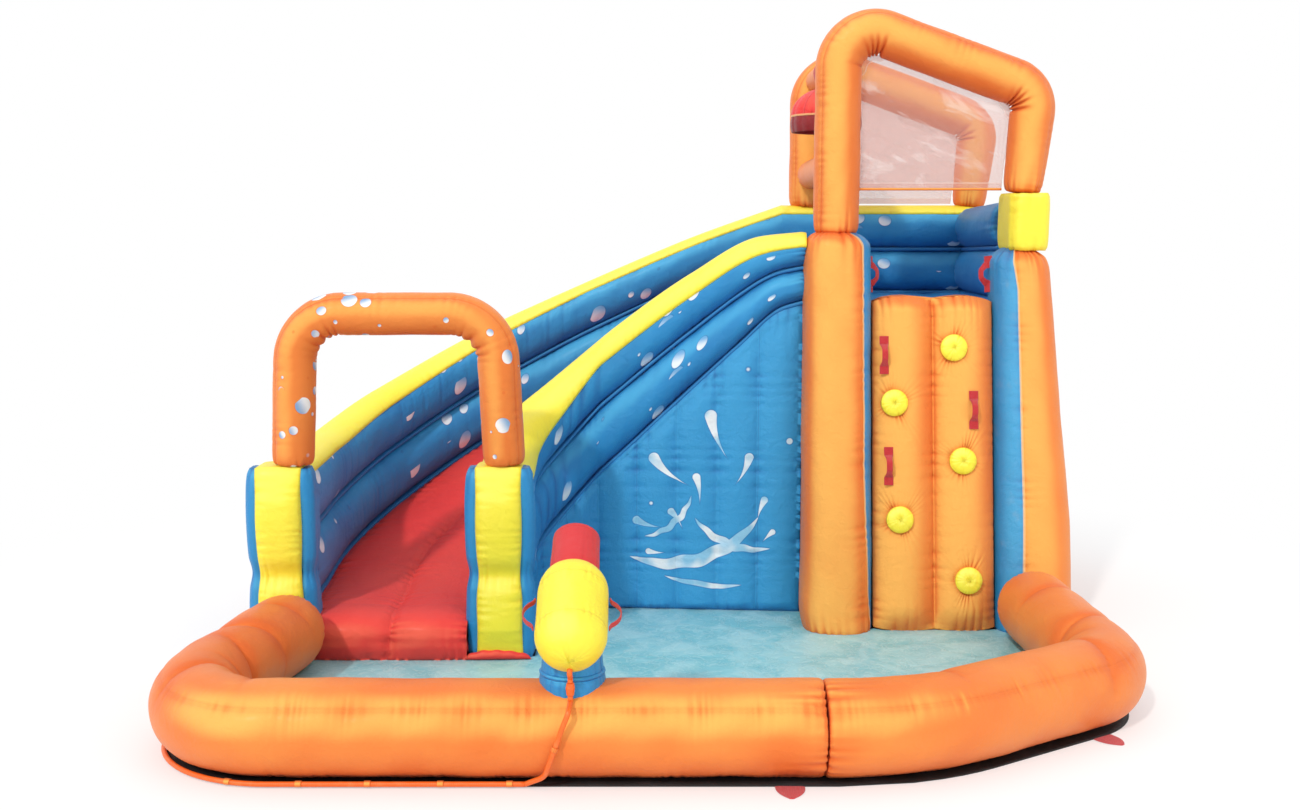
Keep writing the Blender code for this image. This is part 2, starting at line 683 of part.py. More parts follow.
def exit_post(side, centre, upper):
    """Two-lobed post that closes a slide wall, and the yellow strip down the wall and its front."""
    half_y = (WALL_END_Y - GAP - POST_FRONT_Y) / 2
    middle_y = (WALL_END_Y - GAP + POST_FRONT_Y) / 2
    outline = rounded_rectangle(POST_HALF, half_y, POST_CORNER)
    rings = []
    for share, size in POST_LOBES:
        depth = half_y - (1 - size) * POST_HALF
        ring = np.zeros((len(outline), 3))
        ring[:, 0] = centre + outline[:, 0] * size
        ring[:, 1] = middle_y + outline[:, 1] * depth / half_y
        ring[:, 2] = MAT_TOP + share * (POST_TOP - MAT_TOP)
        rings.append(ring)
    chamber("post_" + side, np.array(rings[::-1]), BLUE, COLUMN_SHELL)

    centre_line = upper.mean(axis=1, keepdims=True)
    skin = upper[:, STRIP_CORNERS[side]]
    away = skin - centre_line
    away /= np.linalg.norm(away, axis=2, keepdims=True)
    inner, outer = skin + away * GAP * 1.6, skin + away * (GAP * 1.6 + STRIP_THICK)
    strip = list(np.concatenate([inner, outer[:, ::-1]], axis=1)[1:-1])
    across = centre + PAD_HALF * np.array([1, 0.5, -0.5, -1] if side == "left" else [1, 0.75, 0.25, -0.5, -1])

    def row(y, z, swell_y, swell_z):
        under = [(x, y, z) for x in across]
        over = [(x, y - swell_y * (0.7 if x in across[[0, -1]] else 1.0), z + swell_z) for x in across[::-1]]
        return np.array(under + over)

    top = POST_TOP + 2 * GAP
    edge = rings[-1][:, 1].min() - 2 * GAP
    strip += [row(WALL_END_Y - 0.012, top, 0.0, STRIP_THICK), row(edge + 0.012, top, 0.0, STRIP_THICK)]
    strip.append(row(edge, top, STRIP_THICK, STRIP_THICK))
    for ring, (share, size) in list(zip(rings, POST_LOBES))[-2:0:-1]:
        room = min(1.0, 6 * min(share, 1 - share))
        swell = STRIP_THICK + (PAD_THICK - STRIP_THICK) * room * (0.45 + 0.55 * (size - 0.92) / 0.08)
        strip.append(row(ring[:, 1].min() - 2 * GAP, ring[0, 2], swell, 0.0))
    loft(side_names(side) + "_wall_strip", strip, YELLOW)


def side_names(side):
    """The rear wall ends at the left post, the front wall at the right one."""
    return {"left": "rear", "right": "front"}[side]


def slide_toe():
    """Soft bolster across the end of the bed, between the posts."""
    start, end = REAR_EXIT_X + POST_HALF + 0.001, FRONT_EXIT_X - POST_HALF - 0.001
    middle = (WALL_END_Y - GAP + TOE_FRONT_Y) / 2
    half = (WALL_END_Y - GAP - TOE_FRONT_Y) / 2
    line = with_ends(np.array([(start, middle, 0.0), ((start + end) / 2, middle, 0.0), (end, middle, 0.0)]), 0.04)
    loft("slide_toe", wall_tube(line, MAT_TOP, TOE_TOP, half, 0.04, 12, 3.0), RED)


def splash_arch():
    """Arch over the slide exit, one tube on a rounded line, feet on the posts."""
    foot = POST_TOP + STRIP_THICK + 3 * GAP
    top = ARCH_TOP - ARCH_RADIUS
    corners = ((ARCH_LEFT_X - ARCH_SPLAY, foot), (ARCH_LEFT_X, top),
               (ARCH_RIGHT_X, top), (ARCH_RIGHT_X + ARCH_SPLAY, foot))
    flat = filleted(corners, (ARCH_CORNER, ARCH_CORNER), math.radians(15))
    line = np.stack([flat[:, 0], np.full(len(flat), (WALL_END_Y + POST_FRONT_Y) / 2), flat[:, 1]], 1)
    rings = flat_tube(with_ends(line, 0.05), ARCH_RADIUS, (0, 1, 0), 12, 0.05, 0.84)
    rings[0][:, 2] = foot
    rings[-1][:, 2] = foot
    loft("splash_arch", rings, ORANGE)


def column(name, inner_x, edge, top):
    """Leaning round-cornered column, open at its foot where the air comes in."""
    a, b = rounded_section(12, 2.6)
    heights = np.array([0, 0.05, 0.12, 0.30, 0.60, 0.95, 1.25, 1.40]) * (top - MAT_TOP) / 1.60
    heights = np.concatenate([heights, top - MAT_TOP - np.array([0.10, 0.055, 0.02, 0.0])])
    rings = []
    for height in heights[::-1]:
        share = height / heights[-1]
        outer = profile(edge, height + MAT_TOP)
        room = top - MAT_TOP - height
        crown = 1 - 0.16 * max(0.0, 1 - room / 0.055) ** 2
        centre, half = (inner_x + outer) / 2, abs(outer - inner_x) / 2
        front = COLUMN_FRONT + COLUMN_LEAN * share
        middle = front + COLUMN_DEPTH / 2
        ring = np.zeros((12, 3))
        tuck = (1 - crown) * half * (1 if outer > inner_x else -1)
        ring[:, 0] = centre + tuck + a * half * crown
        ring[:, 1] = middle + b * COLUMN_DEPTH / 2 * crown
        ring[:, 2] = MAT_TOP + height
        rings.append(ring)
    rings = np.array(rings)
    chamber(name, rings, ORANGE, COLUMN_SHELL)


def climbing_wall():
    """Leaning wall with two upright lobes between the columns."""
    left, right = COLUMN_LEFT_IN + GAP, COLUMN_RIGHT_IN - GAP
    share_x = np.array([0, 0.04, 0.14, 0.25, 0.36, 0.46, 0.5, 0.54, 0.64, 0.75, 0.86, 0.96, 1.0])
    bulge = np.array([0, 0.45, 0.88, 1.0, 0.88, 0.45, 0.12, 0.45, 0.88, 1.0, 0.88, 0.45, 0])
    rings = []
    for share in (0, 0.03, 0.08, 0.2, 0.36, 0.52, 0.68, 0.84, 0.93, 0.965, 0.985, 1.0):
        z = MAT_TOP + share * (CLIMB_TOP - MAT_TOP)
        room = min(share * 12, (1 - share) * 22, 1.0)
        round_top = math.sin(max(room, 0.0) * math.pi / 2)
        front = CLIMB_FRONT + CLIMB_LEAN * share
        depth = CLIMB_THICK * (0.62 + 0.38 * round_top)
        y = front + (CLIMB_THICK - depth) / 2 - bulge * CLIMB_LOBE * (0.35 + 0.65 * round_top)
        x = left + (right - left) * share_x
        ring = [(px, py, z) for px, py in zip(x, y)]
        back = front + CLIMB_THICK - (CLIMB_THICK - depth) / 2
        ring += [(right, back, z), (left, back, z)]
        rings.append(ring)
    chamber("climbing_wall", np.array(rings[::-1]), ORANGE, CLIMB_SHELL)


def slab(name, low, high, finish, swell=0.0, pads=1, axis=0):
    """Soft-edged cushion in a box; pads is the number of channels along the axis."""
    low, high = np.array(low, dtype=float), np.array(high, dtype=float)
    middle, half = (low + high) / 2, (high - low) / 2
    count = 4 * pads + 1
    thin = int(np.argmin(half))
    other = ({0, 1, 2} - {axis, thin}).pop()
    rings = []
    for i in range(count):
        share = i / (count - 1)
        seam = abs(math.sin(math.pi * share * pads))
        depth = half[thin] - swell * (1 - seam)
        ring = []
        for u, v in ((-1, -0.55), (-0.93, -1), (0.93, -1), (1, -0.55), (1, 0.55), (0.93, 1), (-0.93, 1), (-1, 0.55)):
            spot = middle.copy()
            spot[axis] = low[axis] + 2 * half[axis] * share
            spot[other] += u * half[other]
            spot[thin] += v * depth
            ring.append(spot)
        rings.append(ring)
    return loft(name, rings, finish)


def tower_body():
    """Deck, and the channelled skirt that holds it up on three sides."""
    left = SLIDE_START_X + GAP
    back = REAR_LINE_Y + WALL_HALF
    under = DECK_TOP - DECK_THICK - GAP
    slab("platform_deck", (left, DECK_FRONT, DECK_TOP - DECK_THICK), (TOWER_RIGHT, back, DECK_TOP), BLUE, 0.0, 3, 0)
    half = SIDE_PANEL_THICK / 2
    corners = ((left + half, DECK_FRONT), (left + half, back - half), (TOWER_RIGHT - half, back - half),
               (TOWER_RIGHT - half, DECK_FRONT))
    line = filleted(corners, (0.09, 0.09), math.radians(45))
    run = along(line)
    count = 2 * round(run[-1] / CHANNEL_PITCH) + 1
    places = np.unique(np.round(np.concatenate([run / run[-1], np.linspace(0, 1, count)]), 4))
    line = resample(line, places)
    a, b = rounded_section(8, 4.0)
    seam = np.abs(np.sin(math.pi * places * (count - 1) / 2))
    rings = line[:, None] + sideways(line)[:, None] * (a[None] * (half - 0.012 * (1 - seam))[:, None])[..., None]
    rings[..., 2] = (MAT_TOP + under) / 2 + b * (under - MAT_TOP) / 2
    loft("tower_skirt", rings, ORANGE)


def guard_right():
    """Two stacked tubes beside the deck, and the block that carries the frame's right leg."""
    split = GUARD_BASE + GUARD_SPLIT
    top = REAR_TOP[0][1] - STRIP_THICK
    start, end = REAR_LINE_Y - WALL_HALF - GAP, DECK_FRONT
    line = with_ends(np.array([(GUARD_RIGHT_X, start + i * (end - start) / 4, 0.0) for i in range(5)]), 0.04)
    rise = GUARD_RIGHT_RISE * along(line) / along(line)[-1]
    chamber("guard_right_lower", wall_tube(line, GUARD_BASE, split + rise, GUARD_RIGHT_HALF), BLUE, COLUMN_SHELL)
    upper = wall_tube(line, split + rise + GAP, top + rise, GUARD_RIGHT_HALF)
    chamber("guard_right_upper", upper, BLUE, COLUMN_SHELL)
    base = COLUMN_RIGHT_OUT[-1][0] + GAP
    middle, half = (BLOCK_FRONT + DECK_FRONT - GAP) / 2, (DECK_FRONT - GAP - BLOCK_FRONT) / 2
    outline = rounded_rectangle(BLOCK_HALF, half, 0.035)
    rings = []
    for share, size in ((0, 0.90), (0.08, 0.97), (0.3, 1.0), (0.7, 1.0), (0.93, 0.985), (1.0, 0.93)):
        ring = np.zeros((len(outline), 3))
        ring[:, :2] = outline * size + np.array([BLOCK_X, middle])
        ring[:, 2] = base + share * (BLOCK_TOP - base)
        rings.append(ring)
    loft("corner_block", rings, YELLOW)


def frame_line(y, drop, left_foot, right_foot, left_x=FRAME_LEFT_X, right_x=FRAME_RIGHT_X):
    """Centre line of a top frame: up the left leg, down the sloping bar, down the right leg."""
    lift = FRAME_SLOPE + math.sqrt(1 + FRAME_SLOPE ** 2) - 1
    corner = HEIGHT - drop - FRAME_RADIUS + FRAME_CORNER * lift
    far = corner - FRAME_SLOPE * (right_x - left_x)
    corners = ((left_x, left_foot), (left_x, corner), (right_x, far), (FRAME_FOOT_X, right_foot))
    flat = filleted(corners, (FRAME_CORNER, FRAME_CORNER * 0.85))
    return np.stack([flat[:, 0], np.full(len(flat), y), flat[:, 1]], 1)


def frame_tube(name, line, feet):
    """Tube of a top frame; its feet narrow and end level."""
    line = with_ends(line, 0.06)
    run = along(line)
    share = run / run[-1]
    radius = FRAME_RADIUS - (FRAME_RADIUS - FOOT_RADIUS) * np.clip((share - 0.80) / 0.2, 0, 1)
    rings = flat_tube(line, radius, (0, 1, 0), 12, 0.06, 0.86)
    rings[0][:, 2] = feet[0]
    rings[-1][:, 2] = feet[1]
    return loft(name, rings, ORANGE)


def net_sheet(name, line, hem):
    """Flat net in a frame's opening, from the hem up to the tube."""
    inner = []
    way = directions(line)
    for spot, ahead in zip(line, way):
        inward = np.array([ahead[2], 0.0, -ahead[0]])
        inner.append(spot + inward * (FRAME_RADIUS * math.cos(math.pi / 12) + 2 * GAP))
    inner = np.array(inner)
    above = np.flatnonzero(inner[:, 2] > hem + 0.01)
    ends = []
    for inside, outside in ((above[0], above[0] - 1), (above[-1], above[-1] + 1)):
        share = (inner[inside][2] - hem) / (inner[inside][2] - inner[outside][2])
        ends.append(inner[inside] + (inner[outside] - inner[inside]) * share)
    line_in = np.vstack([ends[0], inner[above], ends[1]])
    count = len(line_in)
    points = [(x, y - NET_THICK / 2, z) for x, y, z in line_in] + [(x, y + NET_THICK / 2, z) for x, y, z in line_in]
    faces = [tuple(range(count)), tuple(range(count, 2 * count))]
    faces += [(i, (i + 1) % count, count + (i + 1) % count, count + i) for i in range(count)]
    place(name, points, faces, NET)


def top_frames():
    """Front and rear frames with their nets, and the two tubes that join them."""
    left_foot = COLUMN_LEFT_OUT[-1][0] + GAP
    front = frame_line(FRONT_FRAME_Y, 0.0, left_foot, BLOCK_TOP + GAP)
    frame_tube("front_frame", front, (left_foot, BLOCK_TOP + GAP))
    net_sheet("front_net", front, NET_HEM)
    foot = REAR_TOP[0][1] - 0.03
    rear = frame_line(REAR_LINE_Y, REAR_FRAME_DROP, foot, foot, FRAME_LEFT_X - 0.006, FRAME_RIGHT_X)
    made = frame_tube("rear_frame", rear, (foot, foot))
    seat_on(made, "rear_wall_strip", "rear_wall_upper")
    net_sheet("rear_net", rear, REAR_TOP[0][1] + 0.012)
    for name, z, radius in (("crossbar_upper", BAR_Z, BAR_RADIUS), ("crossbar_lower", HEADER_Z, HEADER_RADIUS)):
        x = BAR_X if z == BAR_Z else FRAME_LEFT_X - 0.003
        line = [(x, FRONT_FRAME_Y + 0.06 + i * (REAR_LINE_Y - FRONT_FRAME_Y - 0.12) / 6, z) for i in range(7)]
        made = loft(name, flat_tube(line, radius, (0, 0, 1), 12), ORANGE)
        seat_on(made, "front_frame", "rear_frame")


def bucket():
    """Domed bucket that swings on the upper crossbar from a webbing loop."""
    pivot = axis_point("bucket_swing_axis", (BAR_X, BUCKET_Y, BAR_Z))
    turn = (np.arange(16) + 0.5) * 2 * math.pi / 16
    circle = np.stack([np.cos(turn), np.sin(turn), np.zeros(16)], 1)
    seam = BUCKET_RIM + BAND_TALL
    dome = BUCKET_TOP - seam

    def stack(levels):
        return np.array([np.array((BAR_X, BUCKET_Y, z)) + circle * r for z, r in levels])

    lifts = [math.radians(d) for d in (78, 62, 46, 30, 14, 0)]
    outer = [(seam + dome * math.sin(t), BUCKET_RADIUS * math.cos(t)) for t in lifts]
    outer += [(seam - BAND_TALL * 0.5, BUCKET_RADIUS * 1.02), (BUCKET_RIM, BUCKET_RADIUS * 0.97)]
    thin = BUCKET_WALL
    inner = [(seam + (dome - thin) * math.sin(t), (BUCKET_RADIUS - thin) * math.cos(t)) for t in lifts[1:]]
    inner += [(seam - BAND_TALL * 0.5, BUCKET_RADIUS * 1.02 - thin), (BUCKET_RIM, BUCKET_RADIUS * 0.97 - thin)]
    shell("bucket", stack(outer), stack(inner), RED, pivot)
    below = [touch("bucket", (BAR_X, BUCKET_Y + d, BAR_Z), (0, 0, -1))[0].z for d in (-HANGER_WIDE / 2, 0.0)]
    hang = BAR_Z - max(below) - 2 * GAP
    inside = BAR_RADIUS + 0.0008
    skin = inside + HANGER_THICK
    rings = []
    for k in range(20):
        angle = 2 * math.pi * k / 20
        droop = max(0.0, -math.sin(angle)) ** 8
        far = skin + (hang - skin) * droop
        out = np.array([math.cos(angle), 0.0, math.sin(angle)])
        spot = np.array([BAR_X, BUCKET_Y, BAR_Z])
        wide = np.array([0.0, HANGER_WIDE / 2, 0.0])
        rings.append([spot + out * inside - wide, spot + out * inside + wide, spot + out * far + wide,
                      spot + out * far - wide])
    faces = []
    for i in range(20):
        for k in range(4):
            ahead, nxt = (i + 1) % 20 * 4, (k + 1) % 4
            faces.append((i * 4 + k, i * 4 + nxt, ahead + nxt, ahead + k))
    place("bucket_loop", np.array(rings).reshape(-1, 3), faces, WEBBING, pivot)


def on_wall(name, x, z, finish):
    """Foothold: a soft domed button cut to the climbing wall."""
    spot, normal = touch("climbing_wall", (x, -1.0, z), (0, 1, 0))
    way = Vector((0.0, -CLIMB_TOP, CLIMB_LEAN)).normalized()
    start = spot - way * 0.030
    rim = dome_rings(spot + way * (FOOTHOLD_RISE * 0.35), way, FOOTHOLD_RADIUS, FOOTHOLD_RISE * 0.65, 4)
    base = rim[0] - np.array(spot + way * (FOOTHOLD_RISE * 0.35)) + np.array(start)
    made = loft(name, np.concatenate([[base], rim]), finish)
    seat_on(made, "climbing_wall")


def climbing_aids():
    """Five footholds, three webbing handles on the wall and one inside each column."""
    for number, (x, z) in enumerate(FOOTHOLDS, 1):
        on_wall(f"foothold_{number}", x, z, YELLOW)
    share = np.array([0, 0.10, 0.20, 0.30, 0.42, 0.58, 0.70, 0.80, 0.90, 1.0])
    rise = np.array([0, 0, 0.04, 0.55, 1, 1, 0.55, 0.04, 0, 0])
    widths = WEBBING_END + (WEBBING_MIDDLE - WEBBING_END) * np.clip(rise * 1.5, 0, 1)
    lean = np.array((0.0, CLIMB_LEAN, CLIMB_TOP)) / math.hypot(CLIMB_LEAN, CLIMB_TOP)
    out = np.array((0.0, -lean[2], lean[1]))
    for number, (x, z, length) in enumerate(WALL_HANDLES, 1):
        hits = [touch("climbing_wall", (x + shift * WEBBING_END, -1.0, z + t * length), (0, 1, 0))[0]
                for shift in (-0.5, 0, 0.5) for t in (-0.5, -0.3, 0, 0.3, 0.5)]
        middle = np.array((x, 0.0, z))
        nearest = max(np.dot(np.array(hit) - middle, out) for hit in hits)
        line = middle + out * (nearest + 2 * GAP) + lean * ((share - 0.5) * length)[:, None]
        line += out * (rise * WEBBING_RISE)[:, None]
        ribbon(f"wall_handle_{number}", line, out, widths, WEBBING_THICK, WEBBING)
    for side, way in (("left", 1.0), ("right", -1.0)):
        from_x = (COLUMN_LEFT_IN + COLUMN_RIGHT_IN) / 2
        middle = COLUMN_FRONT + COLUMN_LEAN * SIDE_HANDLE_Z / CLIMB_TOP + COLUMN_DEPTH / 2 - 0.02
        hit, _ = touch("column_" + side, (from_x, middle, SIDE_HANDLE_Z), (-way, 0, 0))
        lean_side = np.array((0.0, CLIMB_LEAN, CLIMB_TOP)) / math.hypot(CLIMB_LEAN, CLIMB_TOP)
        out_side = np.array((way, 0.0, 0.0))
        line = np.array(hit) + out_side * 2 * GAP + lean_side * ((share - 0.5) * SIDE_HANDLE_LONG)[:, None]
        line += out_side * (rise * WEBBING_RISE)[:, None]
        ribbon("side_handle_" + side, line, out_side, widths * 0.8, WEBBING_THICK, WEBBING)


def cannon():
    """Cuff on the pool wall, turning ring and neck, tilting barrel with sleeve, jet and grips."""
    swivel = axis_point("cannon_swivel_axis", (CANNON_X, CANNON_Y, CUFF_TOP))
    tilt = axis_point("cannon_tilt_axis", (CANNON_X, CANNON_Y, TILT_AXIS_Z))
    upright = [(CANNON_X, CANNON_Y, z) for z in (WALL_CENTRE + 0.09, WALL_CENTRE + 0.13, CUFF_TOP - 0.006, CUFF_TOP)]
    made = loft("cannon_cuff", flat_tube(upright, [CUFF_RADIUS] * 3 + [CUFF_RADIUS * 0.97], (0, 1, 0), 16), BLUE)
    seat_on(made, "pool_wall_front")
    ring = [(CANNON_X, CANNON_Y, z) for z in (CUFF_TOP + GAP, (CUFF_TOP + RING_TOP) / 2, RING_TOP)]
    loft("cannon_ring", flat_tube(ring, [CUFF_RADIUS * 0.97, CUFF_RADIUS, CUFF_RADIUS * 0.97], (0, 1, 0), 16), BLUE, swivel)

    way = Vector((0.0, math.cos(TILT), math.sin(TILT)))
    middle = Vector((CANNON_X, CANNON_Y, CAPSULE_Z))
    tail = dome_rings(middle - way * BARREL_HALF, -way, BARREL_RADIUS, BARREL_RADIUS, 6, 16)
    nose = dome_rings(middle + way * BARREL_HALF, -way, BARREL_RADIUS, -BARREL_RADIUS, 6, 16)
    loft("cannon_barrel", np.concatenate([tail[::-1], nose]), YELLOW, tilt)
    neck = [(CANNON_X, CANNON_Y, z) for z in (RING_TOP + GAP, RING_TOP + 0.02, RING_TOP + 0.05, NECK_TOP)]
    made = loft("cannon_neck", flat_tube(neck, [NECK_RADIUS, NECK_RADIUS * 0.97, NECK_RADIUS * 0.95, NECK_RADIUS * 0.90],
                                         (0, 1, 0), 16), BLUE, tilt)
    seat_on(made, "cannon_barrel")

    side = Vector((1.0, 0.0, 0.0))
    turn = (np.arange(16) + 0.5) * 2 * math.pi / 16
    up = way.cross(side)

    def disc(distance, radius):
        spot = np.array(middle + way * distance)
        return spot + radius * (np.outer(np.cos(turn), side) + np.outer(np.sin(turn), up))

    inner_radius = SLEEVE_RADIUS - SLEEVE_WALL
    outer = [disc(0.165, SLEEVE_RADIUS * 0.98), disc(0.20, SLEEVE_RADIUS), disc(0.29, SLEEVE_RADIUS * 0.97),
             disc(SLEEVE_REACH, SLEEVE_RADIUS * 0.96)]
    floor = SLEEVE_REACH - SLEEVE_DEEP
    inner = [disc(floor, inner_radius * 0.9), disc(floor + 0.01, inner_radius), disc(SLEEVE_REACH - 0.05, inner_radius * 0.97),
             disc(SLEEVE_REACH, inner_radius * 0.96)]
    made = shell("nozzle_sleeve", outer, inner, RED, tilt)
    seat_on(made, "cannon_barrel")
    jet_outer = [disc(floor + GAP, JET_RADIUS), disc(floor + JET_LONG * 0.5, JET_RADIUS * 0.9),
                 disc(floor + JET_LONG, JET_RADIUS * 0.6)]
    jet_inner = [disc(floor + JET_LONG * 0.3, JET_RADIUS * 0.3), disc(floor + JET_LONG, JET_RADIUS * 0.3)]
    shell("jet_nozzle", jet_outer, jet_inner, PLASTIC, tilt)

    bend = np.array([0, 0.08, 0.22, 0.38, 0.5, 0.62, 0.78, 0.92, 1.0])
    lift = np.array([0, 0.10, 0.62, 0.94, 1.0, 0.94, 0.62, 0.10, 0])
    for name, sign in (("grip_left", -1.0), ("grip_right", 1.0)):
        out = np.array((sign, 0.0, 0.0))
        looks = [np.array(middle + way * d) + out * 0.3 + (0, 0, w) for d in (-GRIP_HALF, GRIP_HALF) for w in (-0.01, 0, 0.01)]
        skin = max(abs(touch("cannon_barrel", look, -out)[0].x - CANNON_X) for look in looks)
        line = np.array(middle) + out * (skin + GAP) + out * (lift * GRIP_OUT)[:, None]
        line = line + np.array(way) * ((bend - 0.5) * 2 * GRIP_HALF)[:, None]
        ribbon(name, line, out, np.full(9, 0.022), WEBBING_THICK, WEBBING, tilt)
    return swivel, tilt, middle, way


def hose(swivel, tilt, middle, way):
    """Water line: inlet at the left, along the base, up the wall to the barrel's tail."""
    down = Vector((0.0, -0.62, -0.78)).normalized()
    tail, _ = touch("cannon_barrel", middle - way * BARREL_HALF + down * 0.3, -down)
    end = tail + down * GAP * 2
    coupling_y = CANNON_Y - CUFF_RADIUS - COUPLING_RADIUS - 0.003
    high, low = Vector((CANNON_X, coupling_y, 0.338)), Vector((CANNON_X, coupling_y, 0.300))
    upper = [high, (high + low) / 2 + Vector((0, 0, 0.004)), low]
    radii = [COUPLING_RADIUS * 0.8, COUPLING_RADIUS, COUPLING_RADIUS * 0.8]
    loft("hose_coupling", flat_tube([tuple(p) for p in upper], radii, (0, 1, 0), 10), PLASTIC, swivel)
    whip = smooth_line([end, end + down * 0.010, high + Vector((0, 0, 0.014)), high + Vector((0, 0, 2 * GAP))], 9)
    loft("hose_whip", free_tube(whip, HOSE_RADIUS), HOSE, swivel)

    round_wall = WALL_RADIUS / math.cos(math.pi / 14) + HOSE_RADIUS + HOSE_CLEAR
    points = [np.array(low) - (0, 0, 2 * GAP), np.array(low) - (0, 0, 0.020)]
    for degrees in (38, 20, 0, -20, -38):
        phi = math.radians(degrees)
        share = (42 - degrees) / 90
        points.append(np.array((CANNON_X + (HOSE_TURN_X + 0.05 - CANNON_X) * share,
                                POOL_FRONT - round_wall * math.cos(phi), WALL_CENTRE + round_wall * math.sin(phi))))
    ground_y, ground_z = POOL_FRONT - HOSE_OUT, MAT_TOP + HOSE_RADIUS + GAP
    points.append(np.array((HOSE_TURN_X + 0.012, ground_y - 0.003, ground_z + 0.006)))
    points.append(np.array((HOSE_TURN_X, ground_y, ground_z)))
    riser = smooth_line(points, 18)
    riser = free_tube(riser, HOSE_RADIUS)
    riser[-1][:, 0] = HOSE_TURN_X
    loft("hose_riser", riser, HOSE)

    line = beside(pool_line(), -HOSE_OUT)[::-1]
    line = np.array([p for p in line if p[0] < HOSE_TURN_X - 0.05 and p[1] < HOSE_END_Y - 0.02])
    start_x = HOSE_TURN_X - 2 * GAP
    first = [(start_x, POOL_FRONT - HOSE_OUT, 0.0), (start_x - 0.04, POOL_FRONT - HOSE_OUT, 0.0)]
    run_line = np.vstack([first, line, [(line[-1][0], HOSE_END_Y, 0.0)]])
    run_line[:, 2] = ground_z
    loft("hose_run", free_tube(run_line, HOSE_RADIUS), HOSE)


def anchors_and_air_inlet(land):
    """Red anchor straps on the ground at the rim, and the open sleeve for the blower."""
    tip = DEPTH / 2
    edge = -POOL_FRONT + WALL_RADIUS - MAT_MARGIN
    for name, x, sign in (("anchor_front", 0.388, -1), ("anchor_rear", 0.388, 1)):
        start = edge if sign < 0 else REAR_LINE_Y + WALL_HALF
        start += GAP
        outline = [(x - 0.047, sign * start), (x + 0.047, sign * start), (x + 0.030, sign * (tip - 0.03)),
                   (x - 0.008, sign * tip), (x - 0.040, sign * (tip - 0.03))]
        place(name, *prism(outline, 0.0, MAT_THICK), WEBBING)
    line, side = pool_line(), sideways(pool_line())
    i = int(np.argmin(np.abs(line[:, 0] - ANCHOR_RIGHT_X) + 9 * (line[:, 1] > RIGHT_CUT_Y)))
    out = -side[i][:2]
    spot = line[i][:2] + out * (WALL_RADIUS - MAT_MARGIN + 2 * GAP)
    across = np.array((-out[1], out[0])) * 0.045
    outline = [spot - across, spot + across, spot + across * 0.7 + out * 0.06, spot + out * 0.09,
               spot - across * 0.7 + out * 0.06]
    place("anchor_right", *prism([tuple(p) for p in outline], 0.0, MAT_THICK), WEBBING)

    rear = rear_line()
    i = int(np.argmin(np.abs(STATIONS - AIR_SHARE)))
    out = -sideways(rear)[i]
    near = rear[i] + out * (land + PANEL_THICK + PANEL_BULGE + 3 * GAP)
    centre_z = MAT_TOP + AIR_RADIUS
    steps = (0, 0.02, 0.10, 0.20, AIR_LONG - 0.012, AIR_LONG)
    outer = [near + out * d for d in steps]
    outer = np.array([(p[0], p[1], centre_z) for p in outer])
    inner = np.array([(p[0], p[1], centre_z) for p in [near + out * d for d in (0.02, 0.10, 0.20, AIR_LONG)]])
    inside = AIR_RADIUS - AIR_WALL
    skin = flat_tube(outer, [AIR_RADIUS] * 4 + [AIR_RADIUS * AIR_HEM, AIR_RADIUS * AIR_MOUTH], (0, 0, 1), 14)
    bore = flat_tube(inner, [inside, inside, inside, inside * AIR_BORE], (0, 0, 1), 14)
    shell("air_inlet_sleeve", skin, bore, ORANGE)


def main():
    pool_walls()
    ground_sheets()
    right = TOWER_RIGHT - 0.012
    deck_run = (right, right - 0.025, right - 0.05, 1.37, 1.12, 0.87)
    before = np.array([(x, REAR_LINE_Y, 0.0) for x in deck_run])
    rear_upper = slide_wall("rear", rear_line(), REAR_TOP, before)
    front_upper = slide_wall("front", front_line(), FRONT_TOP, before[:0])
    land = slide_bed()
    side_panel("splash_panel", front_line(), 1, land, BLUE)
    side_panel("slide_rear_panel", rear_line(), -1, land, ORANGE)
    exit_post("left", REAR_EXIT_X, rear_upper)
    exit_post("right", FRONT_EXIT_X, front_upper)
    slide_toe()
    splash_arch()
    column("column_left", COLUMN_LEFT_IN, COLUMN_LEFT_OUT, COLUMN_LEFT_OUT[-1][0])
    column("column_right", COLUMN_RIGHT_IN, COLUMN_RIGHT_OUT, COLUMN_RIGHT_OUT[-1][0])
    climbing_wall()
    tower_body()
    guard_right()
    top_frames()
    bucket()
    climbing_aids()
    hose(*cannon())
    anchors_and_air_inlet(land)


main()
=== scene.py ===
"""Looks of an inflatable water park: sewn cloth chambers, printed bubbles, webbing, net and hose.

Every chamber is a grid of points worked out with numpy: rows run along the chamber, columns go round
it. Grids are drawn in the maker's frame and moved sideways by SHIFT when they become a mesh. Folds are
pushed inward from the plain chamber, so that no skin reaches past the solid it stands for.
"""

